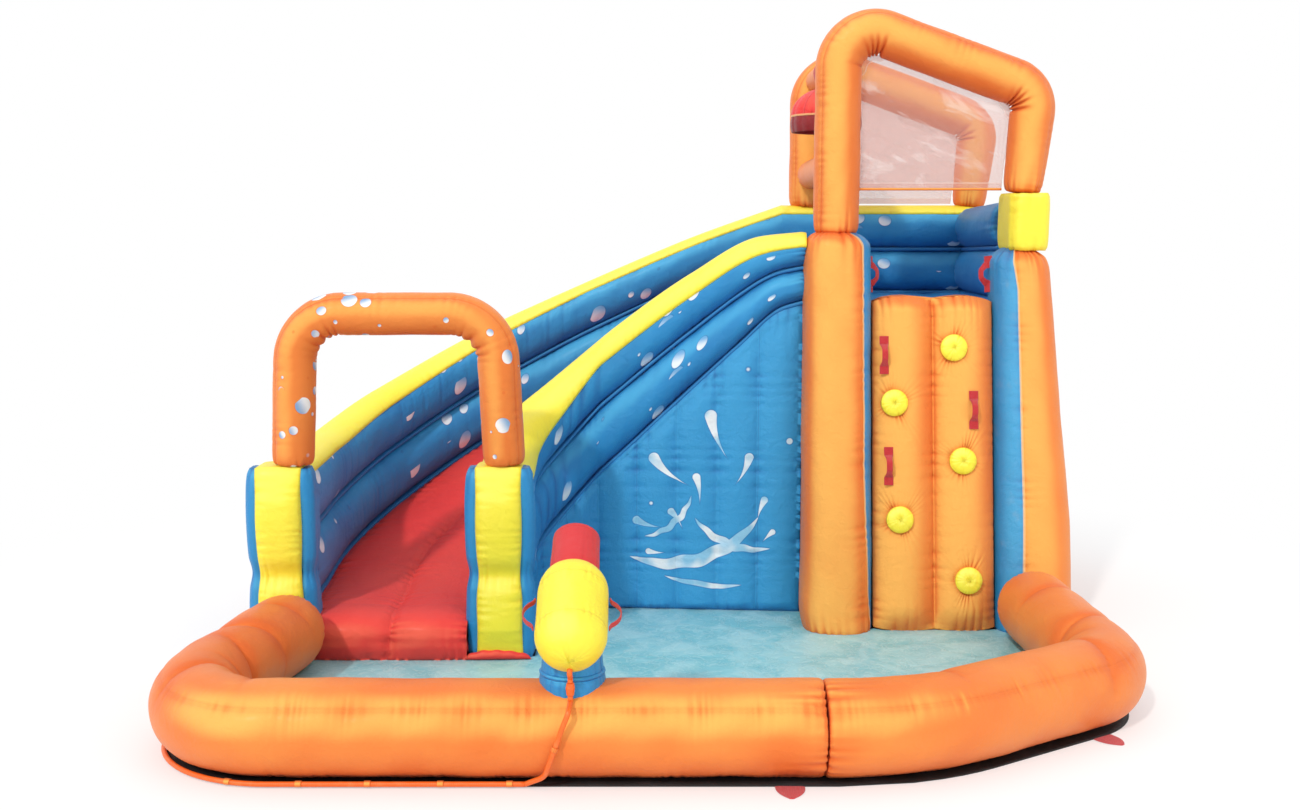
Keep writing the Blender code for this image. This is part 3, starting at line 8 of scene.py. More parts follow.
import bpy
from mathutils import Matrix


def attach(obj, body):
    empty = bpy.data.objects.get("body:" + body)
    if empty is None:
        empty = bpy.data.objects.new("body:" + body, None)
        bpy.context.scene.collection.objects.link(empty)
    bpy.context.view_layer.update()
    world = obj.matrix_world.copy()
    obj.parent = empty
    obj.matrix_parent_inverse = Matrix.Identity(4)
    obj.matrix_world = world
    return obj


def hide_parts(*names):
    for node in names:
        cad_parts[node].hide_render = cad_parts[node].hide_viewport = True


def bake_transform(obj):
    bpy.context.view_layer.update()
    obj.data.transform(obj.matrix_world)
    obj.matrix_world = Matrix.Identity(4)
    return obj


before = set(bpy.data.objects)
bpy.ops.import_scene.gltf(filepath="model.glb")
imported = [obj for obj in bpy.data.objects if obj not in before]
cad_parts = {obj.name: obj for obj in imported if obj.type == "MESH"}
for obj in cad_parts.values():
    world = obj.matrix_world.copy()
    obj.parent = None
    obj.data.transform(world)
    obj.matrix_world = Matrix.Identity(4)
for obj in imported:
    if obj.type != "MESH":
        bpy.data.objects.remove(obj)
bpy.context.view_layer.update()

import math

import bpy
import numpy as np
from mathutils import Vector

SHIFT = np.array((-0.020, 0.0, 0.0))   # drawing line between slide and tower to the middle of the width
GAP = 0.0003                           # air between neighbouring chambers
FULL = 2 * math.pi
TOP, INNER, BOTTOM = math.pi / 2, 0.0, 3 * math.pi / 2    # angles round a chamber
RIGHT, AHEAD, UP = np.eye(3)
STEP = 0.009                           # spacing of the cloth grids
AROUND = 104                           # columns round a big chamber
FAR = 0.5                              # distance to a seam where none is near
FOLD_DEPTH = 0.012                     # a hollow this deep gets a fold's full painted shade
LID_SHARES = (0.93, 0.78, 0.55, 0.28)  # sizes of the rings that close a chamber's end

# Ground sheets and pool wall
MAT_THICK, MAT_TOP, MAT_MARGIN, FLOOR_THICK, FLOOR_EDGE = 0.003, 0.0033, 0.055, 0.003, 0.064
WALL_RADIUS = 0.158
WALL_CENTRE = MAT_TOP + WALL_RADIUS - 0.006
POOL_LEFT, POOL_RIGHT, POOL_FRONT = -1.587, 1.592, -1.472
LEFT_LEAN, RIGHT_LEAN = 0.125, 0.035
RIGHT_CUT = (0.80, -0.97)
POOL_RADII = (0.40, 0.34, 0.90, 0.30)
FRONT_STRAIGHT = 1.75
ANCHOR_X, ANCHOR_RIGHT_X, ANCHOR_TIP_Y, ANCHOR_THICK = 0.385, 1.30, 1.67, 0.003
FLOOR_STEP_X = 0.66                    # where the floor's rear edge steps from climbing wall to slide panel

# Slide
SLIDE_START_X, WALL_END_Y = 0.620, -0.150
REAR_LINE_Y, FRONT_LINE_Y, FRONT_LINE_TURN_Y = 1.450, 0.470, 0.570
REAR_EXIT_X, FRONT_EXIT_X = -1.532, -0.655
REAR_TURN, FRONT_TURN = 1.15, 0.36
DECK_TOP = 1.405
BED_PROFILE = ((0, 1.405), (0.05, 1.375), (0.15, 1.215), (0.31, 0.945), (0.50, 0.625),
               (0.65, 0.405), (0.80, 0.255), (0.92, 0.190), (1.0, 0.178))
REAR_TOP = ((0, 1.840), (0.13, 1.690), (0.22, 1.570), (0.42, 1.285),
            (0.65, 0.960), (0.82, 0.810), (1.0, 0.785))
FRONT_TOP = ((0, 1.710), (0.10, 1.690), (0.27, 1.525), (0.46, 1.280),
             (0.66, 0.985), (0.82, 0.845), (1.0, 0.785))
BED_THICK, BED_SWELL, WALL_HALF, WALL_POWER = 0.045, 0.014, 0.118, 2.4
BED_LAND = 0.0403                      # half the flat on which a wall stands on the bed
PANEL_THICK, PANEL_BULGE, STRIP_THICK = 0.042, 0.016, 0.006
PANEL_CHANNEL = 0.1                    # a channel's share of the panel's length
POST_FRONT_Y, POST_HALF, POST_CORNER, POST_TOP = -0.300, 0.142, 0.044, 0.783
POST_LOBES = ((0.0, 0.94), (0.05, 0.975), (0.20, 1.0), (0.36, 0.975), (0.45, 0.90),
              (0.54, 0.975), (0.72, 1.0), (0.88, 0.98), (0.96, 0.94), (1.0, 0.87))
PAD_THICK, PAD_HALF, TOE_FRONT_Y = 0.040, 0.092, -0.325
ARCH_RADIUS, ARCH_TOP, ARCH_CORNER, ARCH_SPLAY = 0.086, 1.482, 0.195, 0.028
ARCH_LEFT_X, ARCH_RIGHT_X = -1.455, -0.662

# Tower
COLUMN_LEFT_OUT = ((0, 0.615), (0.10, 0.600), (0.30, 0.608), (0.85, 0.614), (1.38, 0.6203),
                   (1.60, 0.6203), (1.675, 0.632), (1.705, 0.655))
COLUMN_RIGHT_OUT = ((0, 1.775), (0.10, 1.785), (0.35, 1.785), (0.86, 1.750), (1.35, 1.715),
                    (1.55, 1.700), (1.605, 1.682), (1.632, 1.650))
COLUMN_LEFT_IN, COLUMN_RIGHT_IN = 0.918, 1.444
CLIMB_LEFT, CLIMB_RIGHT = COLUMN_LEFT_IN + GAP, COLUMN_RIGHT_IN - GAP
COLUMN_FRONT, COLUMN_LEAN, COLUMN_DEPTH = 0.030, 0.245, 0.300
CLIMB_TOP, CLIMB_FRONT, CLIMB_LEAN, CLIMB_THICK, CLIMB_LOBE = 1.440, 0.090, 0.235, 0.120, 0.042
DECK_FRONT, DECK_THICK, TOWER_RIGHT, SKIRT_THICK, SKIRT_CHANNEL = 0.578, 0.062, 1.700, 0.050, 0.33
GUARD_BASE, GUARD_SPLIT = 1.4053, 0.218
GUARD_RIGHT_X, GUARD_RIGHT_HALF, GUARD_RIGHT_RISE = 1.585, 0.105, 0.020
BLOCK_X, BLOCK_HALF, BLOCK_FRONT, BLOCK_TOP = 1.592, 0.090, 0.290, 1.884
FOOTHOLD_RADIUS, FOOTHOLD_RISE, FOOTHOLD_SINK = 0.058, 0.026, 0.028
FOOTHOLDS = ((1.263, 1.218), (1.005, 0.983), (1.298, 0.736), (1.025, 0.487), (1.318, 0.230))
WALL_HANDLES = ((0.962, 1.228, 0.165), (1.345, 0.987, 0.165), (0.978, 0.742, 0.165))
SIDE_HANDLE_Z, SIDE_HANDLE_LONG = 1.530, 0.160
WEBBING_END, WEBBING_MIDDLE, WEBBING_THICK, WEBBING_RISE = 0.040, 0.026, 0.004, 0.032

# Top frames, nets and bucket
FRAME_RADIUS, FOOT_RADIUS, FRAME_LEFT_X, FRAME_RIGHT_X, FRAME_FOOT_X = 0.102, 0.085, 0.766, 1.618, 1.578
FRAME_SLOPE, FRAME_CORNER, FRONT_FRAME_Y, REAR_FRAME_DROP, HEIGHT = 0.362, 0.155, 0.415, 0.065, 2.67
NET_HEM, NET_THICK, HEM_RADIUS = 1.900, 0.0009, 0.0055
BAR_X, BAR_Z, BAR_RADIUS, HEADER_Z, HEADER_RADIUS = 0.780, 2.455, 0.056, 1.995, 0.074
BUCKET_Y, BUCKET_RADIUS, BUCKET_TOP, BUCKET_RIM = 0.940, 0.166, 2.384, 2.178
BUCKET_WALL, BAND_TALL, HANGER_WIDE, GORES = 0.012, 0.075, 0.056, 8

# Cannon and hose
CANNON_X, CANNON_Y = -0.297, -1.457
CUFF_RADIUS, CUFF_TOP, RING_TOP, CAPSULE_Z = 0.106, 0.332, 0.3465, 0.522
BARREL_RADIUS, BARREL_HALF, TILT = 0.117, 0.087, math.radians(30)
NECK_RADIUS, NECK_TOP, SLEEVE_RADIUS, SLEEVE_REACH, SLEEVE_DEEP = 0.100, 0.440, 0.082, 0.345, 0.100
SLEEVE_START, SLEEVE_WALL, GRIP_OUT, GRIP_HALF = 0.165, 0.010, 0.036, 0.062
HOSE_RADIUS, HOSE_CLEAR, HOSE_OUT, HOSE_TURN_X, HOSE_END_Y = 0.0085, 0.003, 0.112, -0.44, -0.86
COUPLING_RADIUS, COUPLING_TOP, COUPLING_FOOT = 0.015, 0.338, 0.300
AIR_RADIUS, AIR_WALL, AIR_LONG, AIR_SHARE = 0.095, 0.010, 0.300, 0.58
FLAP_REACH, FLAP_TALL, FLAP_HALF = 0.125, 0.042, 0.020

# Photograph's viewpoint
EYE = (-0.07, -5.745, 1.745)
LOOK_DOWN = math.radians(7.37)
LENS = 38.55

# Studio: floor, and each light's name, kind, place, aim, strength, size and colour
FLOOR_REACH, FLOOR_LEVEL, WHITE = 60.0, -0.0005, (1.0, 1.0, 1.0, 1.0)
LIGHTS = (("key_light", "SUN", (-2.5, -4.4, 5.0), (0.2, 0.2, 0.3), 1.36, math.radians(3.5), (1.0, 0.97, 0.92)),
          ("fill_light", "AREA", (4.5, -5.0, 3.2), (0.2, 0.0, 0.8), 38.0, 3.5, (1.0, 0.98, 0.96)),
          ("top_light", "AREA", (-0.5, 1.0, 6.0), (0.0, 0.3, 0.5), 24.0, 4.0, (1.0, 1.0, 1.0)))


# Lines and profiles

def filleted(corners, radii):
    """A plan line whose corners are arcs of the given radii, with a point about every two degrees."""
    corners = [Vector((c[0], c[1], 0.0)) for c in corners]
    line = [corners[0]]
    for before, corner, after, radius in zip(corners, corners[1:], corners[2:], radii):
        back, ahead = (before - corner).normalized(), (after - corner).normalized()
        half = back.angle(ahead) / 2
        centre = corner + (back + ahead).normalized() * (radius / math.sin(half))
        start = corner + back * (radius / math.tan(half)) - centre
        end = corner + ahead * (radius / math.tan(half)) - centre
        turn = math.pi - 2 * half
        cuts = max(2, round(turn / math.radians(2)))
        for i in range(cuts + 1):
            early, late = math.sin((1 - i / cuts) * turn), math.sin(i / cuts * turn)
            line.append(centre + (start * early + end * late) / math.sin(turn))
    line.append(corners[-1])
    return np.array([tuple(p) for p in line])


def along(line):
    """Distance travelled at each point of a line."""
    return np.concatenate([[0.0], np.cumsum(np.linalg.norm(np.diff(line, axis=0), axis=1))])


def resample(line, places):
    """Points of a line at the given shares of its length."""
    run = along(line)
    return np.stack([np.interp(np.asarray(places) * run[-1], run, line[:, k]) for k in range(3)], 1)


def even(line, step=STEP):
    """The same line cut into equal steps of about the given length."""
    return resample(line, np.linspace(0, 1, max(8, round(along(line)[-1] / step)) + 1))


def profile(points, places):
    """Smooth curve through a few (place, value) points that never swings past them."""
    x, y = np.array(points, dtype=float).T
    step = np.diff(y) / np.diff(x)
    slope = np.concatenate([[step[0]], np.zeros(len(x) - 2), [step[-1]]])
    same = step[1:] * step[:-1] > 0
    slope[1:-1][same] = 2 * step[1:][same] * step[:-1][same] / (step[1:] + step[:-1])[same]
    places = np.asarray(places, dtype=float)
    k = np.clip(np.searchsorted(x, places, side="right") - 1, 0, len(x) - 2)
    wide = x[k + 1] - x[k]
    t = np.clip((places - x[k]) / wide, 0, 1)
    start, end = (1 + 2 * t) * (1 - t) ** 2, t * t * (3 - 2 * t)
    lead, trail = t * (1 - t) ** 2 * wide, t * t * (t - 1) * wide
    return start * y[k] + end * y[k + 1] + lead * slope[k] + trail * slope[k + 1]


def smooth_line(points, count):
    """Evenly cut curve through a few points in space."""
    points = np.asarray(points, dtype=float)
    run = along(points) / along(points)[-1]
    fine = np.linspace(0, 1, 12 * len(points))
    curve = np.stack([profile(np.stack([run, points[:, k]], 1), fine) for k in range(3)], 1)
    return resample(curve, np.linspace(0, 1, count))


def unit(vectors):
    """Vectors scaled to length one."""
    return vectors / np.maximum(np.linalg.norm(vectors, axis=-1, keepdims=True), 1e-12)


def directions(line):
    """Unit direction of travel at each point."""
    return unit(np.gradient(line, axis=0))


def sideways(line):
    """Level unit normal at each point, to the left of the direction of travel."""
    way = directions(line)
    return unit(np.stack([-way[:, 1], way[:, 0], np.zeros(len(way))], 1))


def beside(line, reach):
    """The line moved to its left by reach."""
    return line + sideways(line) * reach


def turns(count):
    """Evenly spaced angles of one full turn."""
    return np.linspace(0, FULL, count, endpoint=False)


def turned_from(angle, spot):
    """Angle as seen from spot, between half a turn back and half a turn ahead."""
    return (angle - spot + math.pi) % FULL - math.pi


def off_whole(number):
    """How far a number is from the nearest whole one."""
    return np.abs((number + 0.5) % 1 - 0.5)


def wheel(middle, way, run, radius, turn, side, up):
    """Points at a radius and a turn about an axis through middle, run metres along it."""
    spread = np.cos(turn)[:, None] * side + np.sin(turn)[:, None] * up
    return middle + way * run[..., None] + spread * radius[..., None]


def face_and_back(values):
    """A sheet's face followed by its back, which runs the other way."""
    return np.concatenate([values, values[:, ::-1]], axis=1)


def section(count, power):
    """Evenly spaced points of |a|^p + |b|^p = 1 with their angles, anticlockwise from a = 1."""
    turn = np.linspace(0, FULL, 1441)
    a, b = (np.sign(wave) * np.abs(wave) ** (2 / power) for wave in (np.cos(turn), np.sin(turn)))
    run = np.concatenate([[0], np.cumsum(np.hypot(np.diff(a), np.diff(b)))])
    places = np.linspace(0, run[-1], count, endpoint=False)
    a, b = np.interp(places, run, a), np.interp(places, run, b)
    return a, b, np.arctan2(b, a) % FULL


def shoulders(run, start=(0.05, 0.9), end=(0.05, 0.9)):
    """Size along a chamber: each end starts at its pinch and rounds out to 1 over its ease."""
    size = np.ones(len(run))
    for room, (ease, pinch) in ((run, start), (run[-1] - run, end)):
        near = np.clip(room / ease, 0, 1)
        size *= pinch + (1 - pinch) * np.sqrt(1 - (1 - near) ** 2)
    return size


# Folds in blown-up cloth

def pleat(places, spacing, seed):
    """Uneven folds along a length: 1 in a sharp crease, 0 on the round ridge between two creases.

    The folds are 1 - |sin(pi phase)|^0.8, and slow sine waves unevenly stretch the phase and fade the depth.
    """
    t = places / spacing
    phase = t + 0.30 * np.sin(1.3 * t + seed) + 0.25 * np.sin(0.47 * t + 2 * seed)
    depth = 0.55 + 0.45 * np.sin(0.9 * t + 3 * seed)
    return depth * (1 - np.abs(np.sin(math.pi * phase)) ** 0.8)


def ring_pleat(angle, count, seed):
    """The same folds round a ring, count of them, that meet themselves after a full turn."""
    phase = count * angle / FULL + 0.35 * np.sin(3 * angle + seed) + 0.3 * np.sin(5 * angle + 2 * seed)
    depth = 0.55 + 0.45 * np.sin(4 * angle + 3 * seed)
    return depth * (1 - np.abs(np.sin(math.pi * phase)) ** 0.8)


def turned_out(grid):
    """Unit normals of a grid by central differences, pointing away from the middle of each row."""
    normal = unit(np.cross(np.gradient(grid, axis=0), np.roll(grid, -1, 1) - np.roll(grid, 1, 1)))
    away = grid - grid.mean(axis=1, keepdims=True)
    return normal if (normal * away).sum() > 0 else -normal


def seam_folds(run, angle, girth, spots, seed, reach, spacing):
    """Short folds across lengthwise seams, fading with distance from them, and that distance."""
    total = np.zeros((len(run), len(angle)))
    near = np.full_like(total, FAR)
    for number, spot in enumerate(spots):
        apart = np.abs(turned_from(angle, spot)) / FULL * girth
        length = reach * (0.8 + 0.5 * np.sin(run / 0.083 + seed + number) * np.sin(run / 0.31 + seed))[:, None]
        total += np.exp(-apart / length) * pleat(run, spacing, seed + number)[:, None]
        near = np.minimum(near, apart)
    return total, near


def end_folds(run, angle, girth, seed):
    """Folds that run out from both gathered ends of a chamber, and the distance to the nearer end."""
    total = np.zeros((len(run), len(angle)))
    near = np.full_like(total, FAR)
    count = max(7, round(girth / 0.040))
    for side, room in enumerate((run, run[-1] - run)):
        length = 0.07 * (0.8 + 0.5 * np.sin(5 * angle + seed + side) * np.sin(3 * angle))
        total += np.exp(-room[:, None] / length) * ring_pleat(angle, count, seed + side)
        near = np.minimum(near, room[:, None])
    return total, near


def bend_folds(line, angle, seed, spacing, gain=0.16, axes=None):
    """Folds across the inner side of a bend, deeper where the line turns more sharply; axes are the rings' own."""
    run = along(line)
    curl = np.gradient(directions(line), axis=0) / np.maximum(np.gradient(run), 1e-6)[:, None]
    x, y = ((curl * axis).sum(axis=1) for axis in axes or (sideways(line), UP))
    sharp = np.clip(np.hypot(x, y) * gain, 0, 1)
    toward = np.clip(np.cos(angle - np.arctan2(y, x)[:, None]), 0, 1) ** 1.5
    return sharp[:, None] * toward * pleat(run, spacing, seed)[:, None]


def unevenness(run, angle, seed):
    """Slow hollows of stretched cloth, from 0 to 1."""
    s, t = run[:, None], angle
    wave = (np.sin(s / 0.083 + 2 * t + seed) + 0.7 * np.sin(s / 0.047 - 3 * t + 2 * seed)
            + 0.9 * np.sin(s / 0.21 + t + 3 * seed) + 0.5 * np.sin(s / 0.029 + 5 * t + seed))
    return 0.5 + wave / 6.2


# Meshes

def mesh_of(name, verts, quads, tris, uv, values):
    """A mesh from arrays of points and faces, with a cloth map in metres and named values per point."""
    mesh = bpy.data.meshes.new(name)
    mesh.vertices.add(len(verts))
    mesh.vertices.foreach_set("co", verts.astype(np.float32).ravel())
    corners = np.concatenate([quads.ravel(), tris.ravel()]).astype(np.int32)
    mesh.loops.add(len(corners))
    mesh.loops.foreach_set("vertex_index", corners)
    starts = np.concatenate([np.arange(len(quads)) * 4, len(quads) * 4 + np.arange(len(tris)) * 3])
    mesh.polygons.add(len(starts))
    mesh.polygons.foreach_set("loop_start", starts.astype(np.int32))
    mesh.uv_layers.new(name="cloth").data.foreach_set("uv", uv.astype(np.float32).ravel())
    for label, value in values.items():
        mesh.attributes.new(label, "FLOAT", "POINT").data.foreach_set("value", value.astype(np.float32))
    mesh.update(calc_edges=True)
    mesh.validate()
    mesh.shade_smooth()
    return mesh


def piece(name, mesh, finish, nodes, body):
    """Links a mesh with its finish, hangs it on the body it rides on and hides the solids it stands for."""
    material, slot = finish
    mesh.materials.append(material)
    made = bpy.data.objects.new(name, mesh)
    bpy.context.scene.collection.objects.link(made)
    if body:
        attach(made, body)
    for node in [nodes] if isinstance(nodes, str) else nodes:
        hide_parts(node)
    return made


def enclosed(verts, *shapes):
    """Volume within closed faces, negative where they face inward."""
    total = 0.0
    for faces in shapes:
        for j in range(1, faces.shape[1] - 1):
            a, b, c = verts[faces[:, 0]], verts[faces[:, j]], verts[faces[:, j + 1]]
            total += np.einsum("ij,ij->", a, np.cross(b, c))
    return total / 6


def skin(name, grid, finish, nodes=(), body="park", seam=FAR, dip=0.0, panel=None, lay=None):
    """A closed skin: rows of rings and a fan at each end.

    seam, dip and panel are kept on its points for the finish. lay is its cloth map, u and v in metres at each
    point; without it they are the run along the rows and the way round.
    """
    grid = grid + SHIFT
    rows, cols = grid.shape[:2]
    i, k = np.meshgrid(np.arange(rows - 1), np.arange(cols), indexing="ij")
    j = (k + 1) % cols
    quads = np.stack([i * cols + k, i * cols + j, (i + 1) * cols + j, (i + 1) * cols + k], -1).reshape(-1, 4)
    if lay is None:
        ring = grid[rows // 2]
        round_it = along(np.vstack([ring, ring[:1]]))
        uv = np.stack(np.broadcast_arrays(along(grid.mean(axis=1))[:, None], round_it), -1)
    else:
        uv = np.stack(np.broadcast_arrays(*lay), -1)
        uv = np.concatenate([uv, uv[:, :1]], axis=1)
    corner_uv = np.stack([uv[i, k], uv[i, k + 1], uv[i + 1, k + 1], uv[i + 1, k]], 2).reshape(-1, 2)
    c, back = np.arange(cols), (rows - 1) * cols
    verts = np.vstack([grid.reshape(-1, 3), grid[0].mean(axis=0), grid[-1].mean(axis=0)])
    tris = np.vstack([np.stack([np.full(cols, rows * cols), (c + 1) % cols, c], 1),
                      np.stack([np.full(cols, rows * cols + 1), back + c, back + (c + 1) % cols], 1)])
    tip_uv = np.concatenate([np.stack([uv[0, :-1], uv[0, 1:], uv[0, :-1]], 1).reshape(-1, 2),
                             np.stack([uv[-1, :-1], uv[-1, :-1], uv[-1, 1:]], 1).reshape(-1, 2)])
    if enclosed(verts, quads, tris) < 0:
        quads, tris = quads[:, ::-1], tris[:, ::-1]
        corner_uv = corner_uv.reshape(-1, 4, 2)[:, ::-1].reshape(-1, 2)
        tip_uv = tip_uv.reshape(-1, 3, 2)[:, ::-1].reshape(-1, 2)
    kept = {}
    for label, value in (("seam", seam), ("dip", dip), ("panel", panel)):
        if value is not None:
            value = np.broadcast_to(value, (rows, cols))
            kept[label] = np.concatenate([value.ravel(), [value[0].mean(), value[-1].mean()]])
    mesh = mesh_of(name, verts, quads, tris, np.vstack([corner_uv, tip_uv]), kept)
    return piece(name, mesh, finish, nodes, body)


def with_lids(rings, rises):
    """Adds shrinking rings at both ends; rises says how far each lid domes outward."""
    def lid(ring, beside_ring, rise):
        middle = ring.mean(axis=0)
        out = unit(middle - beside_ring.mean(axis=0))
        return [middle + (ring - middle) * p + out * rise * (1 - p * p) for p in LID_SHARES]
    head = lid(rings[0], rings[1], rises[0])[::-1]
    return np.concatenate([np.array(head), rings, np.array(lid(rings[-1], rings[-2], rises[1]))])


def puff(name, rings, angle, finish, nodes, seams, seed, rises=(0.0, 0.0), extra=0.0,
         crease=0.006, gather=0.008, slack=0.0025, panel=None, spacing=0.036, reach=0.045):
    """A blown-up chamber: plain rings pushed inward by folds at the seams, ends and bends.

    crease is the depth of the folds across lengthwise seams, gather that of the folds at the ends,
    slack that of the slow hollows; extra is any further depth, such as that of folds at bends.
    """
    run = along(rings.mean(axis=1))
    girth = np.linalg.norm(np.roll(rings, -1, 1) - rings, axis=2).sum(axis=1).mean()
    side, near = seam_folds(run, angle, girth, seams, seed, reach, spacing)
    tip, rim = end_folds(run, angle, girth, seed)
    depth = crease * side + gather * tip + slack * unevenness(run, angle, seed)
    depth = depth + 0.0035 * np.exp(-near / 0.012) + 0.002 * np.exp(-rim / 0.012) + extra
    moved = with_lids(rings - turned_out(rings) * depth[..., None], rises)
    lids = (len(moved) - len(rings)) // 2
    seam, dip, panel = (value if value is None else np.pad(value, ((lids, lids), (0, 0)), mode="edge")
                        for value in (np.minimum(near, rim), np.clip(depth / FOLD_DEPTH, 0, 1), panel))
    return skin(name, moved, finish, nodes, seam=seam, dip=dip, panel=panel)


def upright(line, low, high, half, size, count=AROUND):
    """Upright rings on a plan line between two heights; half is half their thickness."""
    a, b, angle = section(count, WALL_POWER)
    rings = line[:, None] + sideways(line)[:, None] * (a * (half * size)[:, None])[..., None]
    rings[..., 2] = ((low + high) / 2)[:, None] + b * ((high - low) / 2 * size)[:, None]
    return rings, angle


def tube(line, radius, count, up=UP, size=1.0):
    """Round rings on any line, turned as little as possible; also gives their angles and two axes."""
    line = np.asarray(line, dtype=float)
    radius = np.broadcast_to(radius, len(line)) * np.broadcast_to(size, len(line))
    way = directions(line)
    across = unit(np.cross(way[0], up))
    axes = []
    for ahead in way:
        across = across - ahead * np.dot(across, ahead)
        across = across / np.linalg.norm(across)
        axes.append((across, np.cross(across, ahead)))
    axes = np.array(axes)
    angle = turns(count)
    spread = (np.cos(angle)[None, :, None] * axes[:, 0][:, None]
              + np.sin(angle)[None, :, None] * axes[:, 1][:, None])
    return line[:, None] + spread * radius[:, None, None], angle, axes[:, 0], axes[:, 1]


# Finishes

class Paint:
    """The nodes of one material or world, added from plain settings."""

    def __init__(self, name, kind="materials"):
        self.made = getattr(bpy.data, kind).new(name)
        self.made.use_nodes = True
        self.tree = self.made.node_tree
        self.tree.nodes.clear()

    def node(self, kind, settings=None, **values):
        """A node of a kind: its settings, then a value, output or field for sockets by name or number (i0, i1...)."""
        made = self.tree.nodes.new("ShaderNode" + kind)
        for key, value in (settings or {}).items():
            setattr(made, key, value)
        for key, value in values.items():
            socket = made.inputs[int(key[1:]) if key[0] == "i" else key.replace("_", " ")]
            if isinstance(value, Field):
                value = value.socket
            if isinstance(value, bpy.types.NodeSocket):
                self.tree.links.new(value, socket)
            else:
                socket.default_value = value
        return made

    def field(self, kind, settings=None, output=0, **values):
        return Field(self, self.node(kind, settings, **values).outputs[output])

    def place(self):
        return self.node("TexCoord").outputs["Object"]

    def cloth_map(self):
        return self.node("UVMap", {"uv_map": "cloth"}).outputs[0]

    def kept(self, label):
        """A value kept on the mesh, such as the distance to a seam."""
        return self.field("Attribute", {"attribute_name": label}, output="Fac")

    def split(self, vector):
        made = self.node("SeparateXYZ", i0=vector)
        return [Field(self, made.outputs[k]) for k in range(3)]

    def join(self, x, y, z=0.0):
        return self.node("CombineXYZ", i0=x, i1=y, i2=z).outputs[0]

    def noise(self, vector, scale, detail=2.0, roughness=0.5, distortion=0.0):
        return self.field("TexNoise", Vector=vector, Scale=scale, Detail=detail, Roughness=roughness,
                          Distortion=distortion)

    def mix(self, share, first, second):
        """Colour between first and second."""
        return self.node("Mix", {"data_type": "RGBA"}, i0=share, i6=first, i7=second).outputs[2]

    def bump(self, height, strength):
        return self.node("Bump", Height=height, Distance=1.0, Strength=strength).outputs[0]

    def finish(self, slot, **values):
        """The surface itself, linked to the output; gives the material with its slot."""
        self.node("OutputMaterial", i0=self.node("BsdfPrincipled", **values).outputs[0])
        return self.made, slot


def sum_node(operation, turned=False):
    """A way to work on fields that adds a Math node; turned swaps its two values."""
    def work(self, *others):
        values = (*others, self) if turned else (self, *others)
        return self.paint.field("Math", {"operation": operation}, **{f"i{k}": v for k, v in enumerate(values)})
    return work


class Field:
    """A number that varies over a surface; sums on it add Math nodes."""

    def __init__(self, paint, socket):
        self.paint, self.socket = paint, socket

    __add__ = __radd__ = sum_node("ADD")
    __sub__, __rsub__ = sum_node("SUBTRACT"), sum_node("SUBTRACT", True)
    __mul__ = __rmul__ = sum_node("MULTIPLY")
    __truediv__, __rtruediv__ = sum_node("DIVIDE"), sum_node("DIVIDE", True)
    __pow__, sin, abs = sum_node("POWER"), sum_node("SINE"), sum_node("ABSOLUTE")
    least, most, part = sum_node("MINIMUM"), sum_node("MAXIMUM"), sum_node("FRACT")
    bearing = sum_node("ARCTAN2")

    def step(self, low, high):
        """Smooth step from 0 at low to 1 at high; low above high makes it fall instead."""
        made = self.paint.field("MapRange", {"interpolation_type": "SMOOTHSTEP"}, i0=self,
                                i1=min(low, high), i2=max(low, high))
        return 1 - made if low > high else made


def rgb(code):
    """Scene colour of a hex code."""
    values = [int(code[i:i + 2], 16) / 255 for i in (0, 2, 4)]
    return tuple(v / 12.92 if v <= 0.04045 else ((v + 0.055) / 1.055) ** 2.4 for v in values) + (1.0,)


def sewn_height(paint):
    """Height of coated cloth in metres: weave, small crinkles, seam welt and its stitches."""
    cloth, place = paint.cloth_map(), paint.place()
    u, v, _ = paint.split(cloth)
    threads = (u * (FULL / 0.0024)).sin() * (v * (FULL / 0.0024)).sin()
    crinkle = paint.noise(place, 26.0, 3.0, 0.55, 0.6)
    fine = paint.noise(place, 90.0, 2.0, 0.5, 0.3)
    near = paint.kept("seam")
    welt = near.step(0.0055, 0.0025)
    groove = (near - 0.0085).abs().step(0.0022, 0.0)
    stitch = ((u + v) / 0.0065).part()
    dash = stitch.step(0.25, 0.35) * stitch.step(0.95, 0.85)
    ridges = paint.noise(paint.join(u * 34.0, v * 34.0, near * 9.0), 1.0, 2.0, 0.5) * near.step(0.10, 0.0)
    return (threads * 0.00025 + crinkle * 0.0050 + fine * 0.0010 + welt * 0.0014 - groove * 0.0010
            + groove * dash * 0.0008 + ridges * 0.0042)


